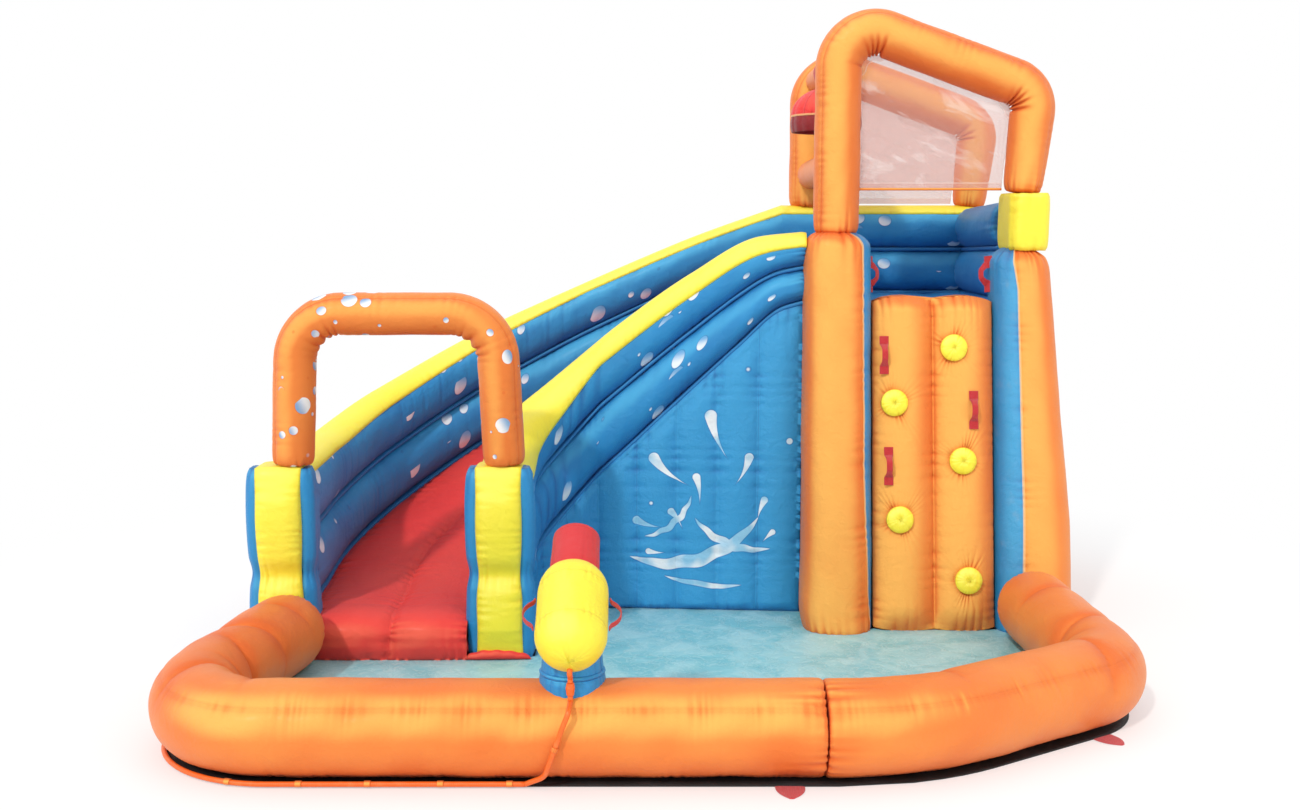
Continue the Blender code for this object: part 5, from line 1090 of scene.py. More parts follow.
def rounded_rectangle(half_x, half_y, corner, count=96):
    """Evenly spaced points of a rounded rectangle, anticlockwise from the middle of its right side."""
    turn = np.linspace(0, FULL, 721)
    c, s = np.cos(turn), np.sin(turn)
    x = np.sign(c) * (half_x - corner) + corner * c
    y = np.sign(s) * (half_y - corner) + corner * s
    x, y = np.append(x, x[0]), np.append(y, y[0])
    line = np.stack([x, y, 0 * x], 1)
    start = int(np.argmin(np.abs(y) + 9 * (x < 0)))
    line = np.vstack([line[start:-1], line[:start + 1]])
    points = resample(line, np.linspace(0, 1, count, endpoint=False))
    return points[:, :2], np.arctan2(points[:, 1] / half_y, points[:, 0] / half_x) % FULL


def exit_post(side, centre):
    """Blue post of two lobes at the end of a wall, with a yellow pad down its front and over its top."""
    half_y, middle_y = (WALL_END_Y - GAP - POST_FRONT_Y) / 2, (WALL_END_Y - GAP + POST_FRONT_Y) / 2
    outline, angle = rounded_rectangle(POST_HALF, half_y, POST_CORNER)
    share = np.linspace(0, 1, 92)
    size = profile(POST_LOBES, share)
    depth = half_y - (1 - size) * POST_HALF
    rings = np.zeros((len(share), len(outline), 3))
    rings[..., 0] = centre + outline[:, 0] * size[:, None]
    rings[..., 1] = middle_y + outline[:, 1] * (depth / half_y)[:, None]
    rings[..., 2] = (MAT_TOP + share * (POST_TOP - MAT_TOP))[:, None]
    height = rings[:, 0, 2]
    waist = np.exp(-np.abs(share - 0.45) * (POST_TOP - MAT_TOP) / 0.055)[:, None] * ring_pleat(angle, 15, 2.0)
    puff(f"post_{side}_skin", rings, angle, BLUE, f"post_{side}", seams=(math.radians(42), math.radians(138)),
         seed=3.0, extra=0.012 * waist, crease=0.007, gather=0.010, slack=0.003)

    front_y = middle_y - depth
    top = POST_TOP + 2 * GAP
    lobes = 0.45 + 0.55 * (size - 0.92) / 0.08
    swell = STRIP_THICK + (PAD_THICK - STRIP_THICK) * np.minimum(1, 6 * np.minimum(share, 1 - share)) * lobes
    edge_y = front_y[-1] - 2 * GAP
    rows = 18
    over = np.linspace(0, 1, rows)
    back_y, down = WALL_END_Y - 0.004, slice(-2, 0, -1)
    path_y = np.concatenate([back_y + (edge_y - back_y) * over, front_y[down] - 2 * GAP])
    path_z = np.concatenate([np.full(rows, top), height[down]])
    thick = np.concatenate([np.full(rows, STRIP_THICK + 0.002), swell[down]])
    lean = np.concatenate([np.clip((over - 0.75) / 0.25, 0, 1) * 0.5,
                           np.clip(0.5 + np.arange(len(height) - 2) / 10, 0, 1)])
    out = np.stack([np.zeros(len(lean)), -np.sin(lean * math.pi / 2), np.cos(lean * math.pi / 2)], 1)
    line = np.stack([np.full(len(path_y), centre), path_y, path_z], 1)
    t = np.linspace(-1, 1, 34)
    run = along(line)
    edge = np.minimum(t + 1, 1 - t) * PAD_HALF
    waist_at = run[-1] * 0.631
    folds = pleat(run, 0.036, 1.0)[:, None] * (t < 0) + pleat(run, 0.033, 3.0)[:, None] * (t >= 0)
    dip = np.exp(-edge / 0.030) * folds
    pinch = np.exp(-np.abs(run - waist_at) / 0.04)[:, None] * (0.45 + pleat(t * PAD_HALF + 0.3, 0.026, 2.0))
    body = np.sqrt(np.clip(1 - np.abs(t) ** 3.2, 0, 1))
    lift = (thick[:, None] * body * (1 - 0.60 * dip) * (1 - 0.50 * np.clip(pinch, 0, 1.4))) + 0.0004
    narrow = 1 - 0.09 * np.exp(-((run - waist_at) / 0.07) ** 2) + 0.015 * np.sin(run / 0.045)
    wide = PAD_HALF * narrow[:, None] * t
    face = line[:, None] + wide[..., None] * RIGHT + out[:, None] * lift[..., None]
    back = line[:, None] + wide[..., None] * RIGHT * 0.97 - out[:, None] * 0.010
    grid = np.concatenate([face, back[:, ::-1]], axis=1)
    skin(f"post_{side}_face", grid, YELLOW, seam=face_and_back(np.broadcast_to(edge, dip.shape) + 0.004),
         dip=face_and_back(np.clip(dip + pinch * 0.6, 0, 1)))


def splash_arch():
    """Arch over the slide exit: one printed tube on a rounded line, its feet on the posts."""
    foot = POST_TOP + STRIP_THICK + 3 * GAP
    top = ARCH_TOP - ARCH_RADIUS
    corners = ((ARCH_LEFT_X - ARCH_SPLAY, foot), (ARCH_LEFT_X, top), (ARCH_RIGHT_X, top),
               (ARCH_RIGHT_X + ARCH_SPLAY, foot))
    flat = even(filleted(corners, (ARCH_CORNER, ARCH_CORNER)), 0.007)
    line = np.stack([flat[:, 0], np.full(len(flat), (WALL_END_Y + POST_FRONT_Y) / 2), flat[:, 1]], 1)
    size = shoulders(along(line), (0.05, 0.84), (0.05, 0.84))
    rings, angle, *axes = tube(line, ARCH_RADIUS, 84, AHEAD, size)
    bends = 0.020 * bend_folds(line, angle, 1.0, 0.050, axes=axes)
    puff("splash_arch_skin", rings, angle, ORANGE_PRINT, "splash_arch", seams=(BOTTOM + 0.9, TOP + 0.9),
         seed=1.5, extra=bends, crease=0.004, slack=0.003)


# Tower

def column(side, inner_x, edge):
    """Leaning column: orange outside, a blue panel on its inner side, domed and gathered at its top."""
    top = edge[-1][0]
    a, b, angle = section(AROUND, 2.6)
    height = np.linspace(0, top - MAT_TOP, round((top - MAT_TOP) / STEP))
    share = height / height[-1]
    outer = profile(edge, height + MAT_TOP)
    room = height[-1] - height
    crown = 1 - 0.16 * np.clip(1 - room / 0.055, 0, 1) ** 2
    centre, half = (inner_x + outer) / 2, np.abs(outer - inner_x) / 2
    toward = 1 if side == "right" else -1
    middle = COLUMN_FRONT + COLUMN_LEAN * share + COLUMN_DEPTH / 2
    rings = np.zeros((len(height), len(a), 3))
    rings[..., 0] = (centre + (1 - crown) * half * toward)[:, None] + a * (half * crown)[:, None]
    rings[..., 1] = middle[:, None] + b * (COLUMN_DEPTH / 2 * crown)[:, None]
    rings[..., 2] = (MAT_TOP + height)[:, None]
    girth = 2.35 * (0.15 + COLUMN_DEPTH / 2)
    inner_way, degrees, tapers = {"left": (0.0, 50, (0.55, 0.78, 0.96, 1.0, 1.0)),
                                  "right": (math.pi, 71, (0.92, 0.97, 1, 1.02, 0.9))}[side]
    apart = np.abs(turned_from(angle, inner_way))
    corner = math.radians(degrees)
    taper = np.interp(share, (0, 0.10, 0.35, 0.9, 1), tapers)
    panel = (corner * taper[:, None] - apart) / FULL * girth * 1.3
    seams = (inner_way + corner, inner_way - corner + FULL)
    puff(f"column_{side}_skin", rings, angle, ORANGE_COLUMN, f"column_{side}", seams=[s % FULL for s in seams],
         seed=2.0 + toward, rises=(0.0, 0.030), panel=panel, gather=0.014, slack=0.004, spacing=0.048)


def climb_depth(z):
    """Share of the climbing wall's height, how round it is there (0 to 1) and how thick."""
    share = (z - MAT_TOP) / (CLIMB_TOP - MAT_TOP)
    round_end = np.sin(np.clip(np.minimum(share * 12, (1 - share) * 22), 0, 1) * math.pi / 2)
    return share, round_end, CLIMB_THICK * (0.62 + 0.38 * round_end)


def climb_front(x, z):
    """Front face of the climbing wall: how far back it is at a place, its folds there and the nearest seam."""
    share, round_end, depth = climb_depth(z)
    bulge = np.abs(np.sin(FULL * ((x - CLIMB_LEFT) / (CLIMB_RIGHT - CLIMB_LEFT)))) ** 0.6
    y = (CLIMB_FRONT + CLIMB_LEAN * share + (CLIMB_THICK - depth) / 2
         - bulge * CLIMB_LOBE * (0.35 + 0.65 * round_end))
    y = y + (0.030 - 0.030 * bulge ** 0.7) * round_end
    dip = np.zeros(np.broadcast(x, z).shape)
    for number, (fx, fz) in enumerate(FOOTHOLDS):
        far = np.clip(np.hypot(x - fx, (z - fz) * 1.02) - FOOTHOLD_RADIUS, 0, 9)
        bearing = np.arctan2(z - fz, x - fx)
        steep = 0.35 + 0.65 * np.abs(np.sin(bearing)) ** 1.5
        folds = ring_pleat(bearing % FULL, 34, number + 1.0) * (0.7 + 0.3 * np.sin(bearing * 5 + number))
        dip = dip + 1.5 * np.exp(-far / 0.034) * steep * folds
        dip = dip + 0.5 * np.exp(-far / 0.020)
    from_top, from_base = CLIMB_TOP - z, z - MAT_TOP
    dip = (dip + np.exp(-from_top / 0.07) * pleat(x, 0.042, 2.0)
           + 0.8 * np.exp(-from_base / 0.06) * pleat(x, 0.05, 3.0))
    centre = np.abs(x - (CLIMB_LEFT + CLIMB_RIGHT) / 2)
    dip = dip + 0.7 * np.exp(-centre / 0.035) * pleat(z, 0.055, 1.0)
    sides = np.minimum(x - CLIMB_LEFT, CLIMB_RIGHT - x)
    dip = dip + 0.7 * np.exp(-sides / 0.03) * pleat(z, 0.050, 4.0)
    seam = np.minimum(np.minimum(centre, sides + 0.004), from_top + 0.004)
    return y + np.clip(dip, 0, 1.8) * 0.011, np.clip(dip, 0, 1), seam


def climbing_wall():
    """Leaning wall with two upright lobes, gathered round each foothold and along its seams."""
    z = np.linspace(MAT_TOP, CLIMB_TOP, 300)[:, None]
    x = np.linspace(CLIMB_LEFT, CLIMB_RIGHT, 150)
    y, dip, seam = climb_front(x, z)
    share, _, depth = climb_depth(z)
    back_x = np.linspace(CLIMB_RIGHT, CLIMB_LEFT, 12)
    back_y = CLIMB_FRONT + CLIMB_LEAN * share + CLIMB_THICK - (CLIMB_THICK - depth) / 2
    front, back = (np.stack(np.broadcast_arrays(*place), -1) for place in ((x, y, z), (back_x, back_y, z)))
    grid = np.concatenate([front, back], axis=1)
    lobe = np.abs(np.sin(FULL * (grid[..., 0] - CLIMB_LEFT) / (CLIMB_RIGHT - CLIMB_LEFT))) ** 0.7
    low, high = np.clip(1 - share / 0.08, 0, 1), np.clip((share - 0.93) / 0.07, 0, 1)
    grid[..., 2] += (1 - lobe) * (0.014 * low - 0.030 * high)
    blank = np.zeros(back.shape[:2])
    seam = np.concatenate([np.broadcast_to(seam, front.shape[:2]), blank + FAR], 1)
    skin("climbing_wall_skin", grid, ORANGE_UPRIGHT, "climbing_wall", seam=seam,
         dip=np.concatenate([dip, blank], 1))


def cushion(name, low, high, finish, node, channels, seed):
    """Level cushion in a box, channels of them sewn side by side along x; its edges are round."""
    low, high = np.array(low), np.array(high)
    middle = (low + high) / 2
    long_way, half_wide, half_thin = (high - low) / (1, 2, 2)
    rows = round(long_way / 0.012)
    s = np.linspace(0, 1, rows)
    outline, angle = rounded_rectangle(half_wide, half_thin, half_thin * 0.95, 150)
    puffed = 0.72 + 0.28 * np.abs(np.sin(math.pi * s * channels)) ** 0.6
    rings = np.zeros((rows, 150, 3))
    rings[..., 0] = (low[0] + s * long_way)[:, None]
    rings[..., 1] = middle[1] + outline[:, 0]
    rings[..., 2] = middle[2] + outline[:, 1] * puffed[:, None]
    to_seam = off_whole(s * channels)[:, None] * long_way / channels + 0 * angle
    dip = np.exp(-to_seam / 0.05) * pleat(outline[:, 0] + 2, 0.05, seed)
    rings[..., 2] -= np.sign(outline[:, 1]) * dip * 0.008 * (np.abs(outline[:, 1]) > half_thin * 0.9)
    skin(name, rings, finish, node, seam=to_seam + 0.003, dip=np.clip(dip, 0, 1))


def tower_body():
    """Deck cushion and the channelled skirt round three sides of the tower."""
    left, back = SLIDE_START_X + GAP, REAR_LINE_Y + WALL_HALF
    under = DECK_TOP - DECK_THICK - GAP
    cushion("deck_cushion", (left, DECK_FRONT, DECK_TOP - DECK_THICK), (TOWER_RIGHT, back, DECK_TOP), BLUE,
            "platform_deck", 3, 2.0)
    half = SKIRT_THICK / 2
    corners = ((left + half, DECK_FRONT), (left + half, back - half), (TOWER_RIGHT - half, back - half),
               (TOWER_RIGHT - half, DECK_FRONT))
    line = even(filleted(corners, (0.09, 0.09)))
    run = along(line)
    count = round(run[-1] / SKIRT_CHANNEL)
    wave = np.abs(np.sin(math.pi * run / run[-1] * count)) ** 0.6
    height = under - MAT_TOP
    s = np.concatenate([np.linspace(-1, 1, 110), np.linspace(1, -1, 110)])
    side = np.concatenate([np.ones(110), -np.ones(110)])
    edge = np.sqrt(np.clip(1 - np.abs(s) ** 24, 0, 1))
    thick = (half - 0.012 * (1 - wave))[:, None] * (side * edge)
    to_seam = off_whole(run / run[-1] * count)[:, None] * run[-1] / count + 0 * s
    to_edge = (1 - np.abs(s)) * height / 2
    dip = np.exp(-to_seam / 0.05) * pleat(s * height / 2 + 2, 0.055, 3.0)
    dip = dip + np.exp(-to_edge / 0.06) * pleat(run, 0.05, 2.0)[:, None]
    thick = thick - side * np.clip(dip, 0, 1.2) * 0.008 * edge
    grid = line[:, None] + sideways(line)[:, None] * thick[..., None]
    grid[..., 2] = (MAT_TOP + under) / 2 + s * height / 2
    skin("tower_skirt_skin", grid, ORANGE_UPRIGHT, "tower_skirt", dip=np.clip(dip, 0, 1),
         seam=np.minimum(to_seam, to_edge + 0.004) + 0.001)


def guard_right():
    """Two stacked blue tubes beside the deck and the yellow block that carries the frame's leg."""
    split = GUARD_BASE + GUARD_SPLIT
    top = REAR_TOP[0][1] - STRIP_THICK
    line = even(np.array(((GUARD_RIGHT_X, REAR_LINE_Y - WALL_HALF - GAP, 0.0),
                          (GUARD_RIGHT_X, DECK_FRONT, 0.0))))
    run = along(line)
    rise = GUARD_RIGHT_RISE * run / run[-1]
    size = shoulders(run, (0.04, 0.88), (0.04, 0.88))
    levels = (("lower", np.full(len(run), GUARD_BASE), split + rise), ("upper", split + rise + GAP, top + rise))
    for number, (which, low, high) in enumerate(levels):
        rings, angle = upright(line, low, high, GUARD_RIGHT_HALF, size, 84)
        puff(f"guard_right_{which}_skin", rings, angle, BLUE, f"guard_right_{which}", seams=(TOP, BOTTOM),
             seed=5.0 + number, crease=0.008, gather=0.012, slack=0.004)
    join_strip("guard_right_join", line[2:-2], (split + rise)[2:-2], GUARD_RIGHT_HALF * 0.62)
    join_strip("guard_right_base", line[2:-2], GUARD_BASE - 0.001, GUARD_RIGHT_HALF * 0.62, tall=0.016)
    base = COLUMN_RIGHT_OUT[-1][0] + GAP
    half, middle = (DECK_FRONT - GAP - BLOCK_FRONT) / 2, (BLOCK_FRONT + DECK_FRONT - GAP) / 2
    outline, angle = rounded_rectangle(BLOCK_HALF, half, 0.052, 84)
    share = np.linspace(0, 1, 34)
    size = profile(((0, 0.90), (0.08, 0.97), (0.3, 1.0), (0.7, 1.0), (0.93, 0.985), (1.0, 0.93)), share)
    rings = np.zeros((34, 84, 3))
    rings[..., :2] = outline * size[:, None, None] + np.array([BLOCK_X, middle])
    rings[..., 2] = (base + share * (BLOCK_TOP - base))[:, None]
    puff("corner_block_skin", rings, angle, YELLOW, "corner_block", seams=(math.radians(45), math.radians(225)),
         seed=2.0, slack=0.003)


# Top frames, nets, crossbars and bucket

def frame_line(y, drop, left_foot, right_foot, left_x=FRAME_LEFT_X):
    """Centre line of a top frame: up the left leg, down the sloping bar, down the right leg."""
    lift = FRAME_SLOPE + math.sqrt(1 + FRAME_SLOPE ** 2) - 1
    corner = HEIGHT - drop - FRAME_RADIUS + FRAME_CORNER * lift
    far = corner - FRAME_SLOPE * (FRAME_RIGHT_X - left_x)
    corners = ((left_x, left_foot), (left_x, corner), (FRAME_RIGHT_X, far), (FRAME_FOOT_X, right_foot))
    flat = filleted(corners, (FRAME_CORNER, FRAME_CORNER * 0.85))
    return np.stack([flat[:, 0], np.full(len(flat), y), flat[:, 1]], 1)


def frame_tube(name, line, node, seed):
    """Tube of a top frame: narrow gathered feet, deep folds inside its corners."""
    line = even(line, 0.008)
    run = along(line)
    radius = FRAME_RADIUS - (FRAME_RADIUS - FOOT_RADIUS) * np.clip((run / run[-1] - 0.80) / 0.2, 0, 1)
    size = shoulders(run, (0.06, 0.84), (0.06, 0.84))
    rings, angle, *axes = tube(line, radius, 92, AHEAD, size)
    bends = 0.030 * bend_folds(line, angle, seed, 0.050, 0.20, axes)
    puff(name, rings, angle, ORANGE_UPRIGHT, node, seams=(TOP + 0.9, BOTTOM + 0.9), seed=seed, extra=bends,
         crease=0.005, gather=0.012, slack=0.004, rises=(0.01, 0.01))


def net_sheet(name, line, hem, node, bow):
    """Net in a frame's opening: straight threads from the hem up to the tube, bowed a little by its own slack."""
    way = directions(line)
    inward = np.stack([way[:, 2], 0 * way[:, 1], -way[:, 0]], 1)
    inner = line + inward * (FRAME_RADIUS * math.cos(math.pi / 12) - 0.006)
    above = np.flatnonzero(inner[:, 2] > hem + 0.01)
    ends = []
    for inside, outside in ((above[0], above[0] - 1), (above[-1], above[-1] + 1)):
        share = (inner[inside][2] - hem) / (inner[inside][2] - inner[outside][2])
        ends.append(inner[inside] + (inner[outside] - inner[inside]) * share)
    rim = np.vstack([ends[0], inner[above], ends[1]])
    s = np.linspace(0, 1, 76)
    top = resample(rim, s)
    base = ends[0] + (ends[1] - ends[0]) * s[:, None]
    t = np.linspace(0, 1, 66)
    face = base[:, None] + (top - base)[:, None] * t[None, :, None]
    apart = np.hypot(rim[:, 0] - face[..., :1], rim[:, 2] - face[..., 2:])
    near = np.minimum(apart.min(axis=2), face[..., 2] - hem)
    wave = bow * np.sin(math.pi * s)[:, None] * np.sin(math.pi * t)
    tall, wide = t, s[:, None]
    crumple = 0.0035 * np.sin(wide * 29 + 3 * np.sin(tall * 8)) * np.sin(tall * 17 + 2 * np.sin(wide * 7))
    face[..., 1] += wave + crumple * np.clip(near / 0.05, 0, 1)
    grid = np.concatenate([face, (face + (0, NET_THICK, 0))[:, ::-1]], axis=1)
    tall = top[:, 2] - base[:, 2]
    made = skin(name, grid, NETTING, node, seam=face_and_back(near), lay=(grid[..., 0], grid[..., 2]))
    return base


def top_frames():
    """Front and rear frames with their nets, and the two tubes that join them."""
    left_foot = COLUMN_LEFT_OUT[-1][0] + GAP
    front = frame_line(FRONT_FRAME_Y, 0.0, left_foot, BLOCK_TOP + GAP)
    foot = REAR_TOP[0][1] - 0.004
    rear = frame_line(REAR_LINE_Y, REAR_FRAME_DROP, foot, foot, FRAME_LEFT_X - 0.006)
    frame_tube("front_frame_skin", front, "front_frame", 1.0)
    frame_tube("rear_frame_skin", rear, "rear_frame", 4.0)
    hem = net_sheet("front_net_cloth", front, NET_HEM, "front_net", -0.006)
    net_sheet("rear_net_cloth", rear, REAR_TOP[0][1] + 0.012, "rear_net", 0.010)
    skin("front_net_hem", tube(even(hem, 0.01), HEM_RADIUS, 12, AHEAD)[0], ORANGE)
    for name, x, z, radius in (("crossbar_upper", BAR_X, BAR_Z, BAR_RADIUS),
                               ("crossbar_lower", FRAME_LEFT_X - 0.003, HEADER_Z, HEADER_RADIUS)):
        reach = math.sqrt(max(FRAME_RADIUS ** 2 - (x - FRAME_LEFT_X) ** 2, 0)) * 0.93
        line = even(np.array(((x, FRONT_FRAME_Y + reach, z), (x, REAR_LINE_Y - reach, z))), 0.008)
        rings, angle, *_ = tube(line, radius, 60)
        puff(name + "_skin", rings, angle, ORANGE, name, seams=(TOP, BOTTOM), seed=3.0, crease=0.005,
             gather=0.010, slack=0.002)


def lathed(points, x, y, cols, depth, count, seed):
    """Rings about an upright axis through points of (height, radius), with count pleats of a depth round them."""
    turn = turns(cols)
    z, radius = (np.asarray(values)[:, None] for values in zip(*points))
    folded = radius * (1 - depth * ring_pleat(turn, count, seed))
    return wheel(np.array((x, y, 0.0)), UP, z, folded, turn, RIGHT, AHEAD), turn


def bucket():
    """Red dome over a band painted dark as its shade, open below, that swings on a webbing loop."""
    seam = BUCKET_RIM + BAND_TALL
    dome = BUCKET_TOP - seam
    lift = np.radians(np.linspace(86, 0, 30))
    outer = [(seam + dome * math.sin(t), BUCKET_RADIUS * math.cos(t)) for t in lift]
    band = np.linspace(0, 1, 12)[1:]
    outer += [(seam - BAND_TALL * s, BUCKET_RADIUS * (0.985 + 0.035 * math.sin(math.pi * s) - 0.012 * s))
              for s in band]
    thin = BUCKET_WALL
    inner = [(z if z < seam else seam + (z - seam) * (dome - thin) / dome, r - thin * min(1, r / 0.05))
             for z, r in outer]
    points = outer + [(BUCKET_RIM - 0.001, BUCKET_RADIUS * 0.965)] + inner[::-1]
    rings, turn = lathed(points, BAR_X, BUCKET_Y, 128, 0.035, 18, 2.0)
    z, radius = np.array(points).T[..., None]
    near_seam = np.abs(z - seam)
    gore = off_whole(turn * GORES / FULL) * FULL / GORES * radius
    dip = ring_pleat(turn, 30, 1.0) * np.exp(-near_seam / 0.03)
    rings -= unit(rings - np.array((BAR_X, BUCKET_Y, seam))) * (dip * 0.006)[..., None]
    # panel marks the band below the seam, which the finish paints dark as shade
    skin("bucket_skin", rings, BUCKET_CLOTH, "bucket", "bucket_body",
         seam=np.minimum(near_seam, np.where(z > seam, gore, FAR)), dip=dip, panel=seam - z)


def ribbon(name, line, outward, widths, thick, nodes, body="park"):
    """Webbing along a line: a flat section as wide as widths, thick measured outward, ribbed by its finish."""
    line = np.asarray(line, dtype=float)
    outward = np.broadcast_to(outward, line.shape)
    widths = np.broadcast_to(widths, len(line))
    way = directions(line)
    across = unit(np.cross(way, outward))
    lift = unit(np.cross(across, way))
    lift = lift * np.sign((lift * outward).sum(axis=1))[:, None]
    t = np.concatenate([np.linspace(-1, 1, 12), np.linspace(1, -1, 12)])
    high = np.concatenate([np.zeros(12), np.ones(12)])
    round_edge = np.sqrt(np.clip(1 - t ** 10, 0, 1))
    depth = thick * (0.5 + (high - 0.5) * round_edge)
    grid = (line[:, None] + across[:, None] * (widths[:, None] / 2 * t)[..., None]
            + lift[:, None] * depth[None, :, None])
    lay = (along(line)[:, None], widths[:, None] / 2 * t)
    skin(name, grid, WEBBING, nodes, body, lay=lay)


def hanging_loop():
    """Webbing loop round the upper crossbar that carries the bucket."""
    hang = BAR_Z - BUCKET_TOP - 0.001
    inside = BAR_RADIUS + 0.0008
    turn = np.linspace(0.0, FULL, 73)
    far = inside + (hang - inside - 0.004) * np.maximum(0.0, -np.sin(turn)) ** 8
    out = np.stack([np.cos(turn), 0 * turn, np.sin(turn)], 1)
    line = np.array((BAR_X, BUCKET_Y, BAR_Z)) + out * far[:, None]
    ribbon("bucket_hanger", line, out, HANGER_WIDE, 0.004, "bucket_loop", "bucket_body")


def foothold(number, x, z):
    """Soft yellow button: domed, gathered at its rim, with a dimple sewn at its middle."""
    y = float(climb_front(np.array([[x]]), np.array([[z]]))[0][0, 0])
    way = np.array((0.0, -CLIMB_TOP, CLIMB_LEAN))
    way /= np.linalg.norm(way)
    up = np.cross(way, RIGHT)
    up *= np.sign(up[2])
    lift = np.linspace(0, math.radians(89), 26)
    radius = np.concatenate([[FOOTHOLD_RADIUS * 0.96], FOOTHOLD_RADIUS * np.cos(lift)])
    dimple = np.exp(-(radius[1:] / 0.016) ** 2)
    rise = np.concatenate([[-FOOTHOLD_SINK], FOOTHOLD_RISE * (0.30 + 0.75 * np.sin(lift) - 0.22 * dimple)])
    turn = turns(84)
    folds = ring_pleat(turn, 17, float(number)) * np.exp(-np.abs(FOOTHOLD_RADIUS - radius)[:, None] / 0.018)
    star = ring_pleat(turn, 9, number + 1.0) * np.exp(-radius[:, None] / 0.018)
    spot = np.array((x, y - 0.004, z))
    high = rise[:, None] - 0.006 * folds - 0.005 * star
    high[0] = rise[0]
    rings = wheel(spot, way, high, radius[:, None], turn, RIGHT, up)
    near = np.minimum(np.abs(FOOTHOLD_RADIUS - radius), radius)[:, None] + 0.002
    skin(f"foothold_{number}_skin", rings, YELLOW, f"foothold_{number}", seam=near,
         dip=np.clip(folds + star, 0, 1))


def handles():
    """Red webbing handles: flat sewn ends, a raised grip between."""
    share = np.linspace(0, 1, 61)
    rise = profile(((0, 0), (0.12, 0), (0.21, 0.03), (0.30, 0.55), (0.42, 0.97), (0.50, 1.0), (0.58, 0.97),
                    (0.70, 0.55), (0.79, 0.03), (0.88, 0), (1, 0)), share)
    widths = WEBBING_END + (WEBBING_MIDDLE - WEBBING_END) * np.clip(rise * 1.5, 0, 1)
    lean = np.array((0.0, CLIMB_LEAN, CLIMB_TOP)) / math.hypot(CLIMB_LEAN, CLIMB_TOP)
    out = np.array((0.0, -lean[2], lean[1]))
    for number, (x, z, length) in enumerate(WALL_HANDLES, 1):
        spots = z + np.linspace(-0.5, 0.5, 9)[:, None] * length
        faces = climb_front(x + np.linspace(-0.02, 0.02, 5), spots)[0]
        middle = np.array((x, 0.0, z))
        nearest = max(np.dot(np.array((x, y, s)) - middle, out) for y, s in zip(faces.min(axis=1), spots[:, 0]))
        line = middle + lean * ((share - 0.5) * length)[:, None]
        line = line + out * (nearest + 0.001 + rise * WEBBING_RISE)[:, None]
        ribbon(f"wall_handle_{number}_strap", line, out, widths, WEBBING_THICK, f"wall_handle_{number}")
    middle_y = COLUMN_FRONT + COLUMN_LEAN * SIDE_HANDLE_Z / CLIMB_TOP + COLUMN_DEPTH / 2 - 0.02
    for side, inner_x, way in (("left", COLUMN_LEFT_IN, 1.0), ("right", COLUMN_RIGHT_IN, -1.0)):
        faced = unit(np.array((way * 0.70, -0.71, 0.0)))
        middle = np.array((inner_x + way * 0.001, middle_y, SIDE_HANDLE_Z))
        line = middle + lean * ((share - 0.5) * SIDE_HANDLE_LONG)[:, None]
        line = line + RIGHT * (way * rise * WEBBING_RISE)[:, None]
        ribbon(f"side_handle_{side}_strap", line, faced, widths, WEBBING_THICK, f"side_handle_{side}")


# Cannon, hose and trimmings

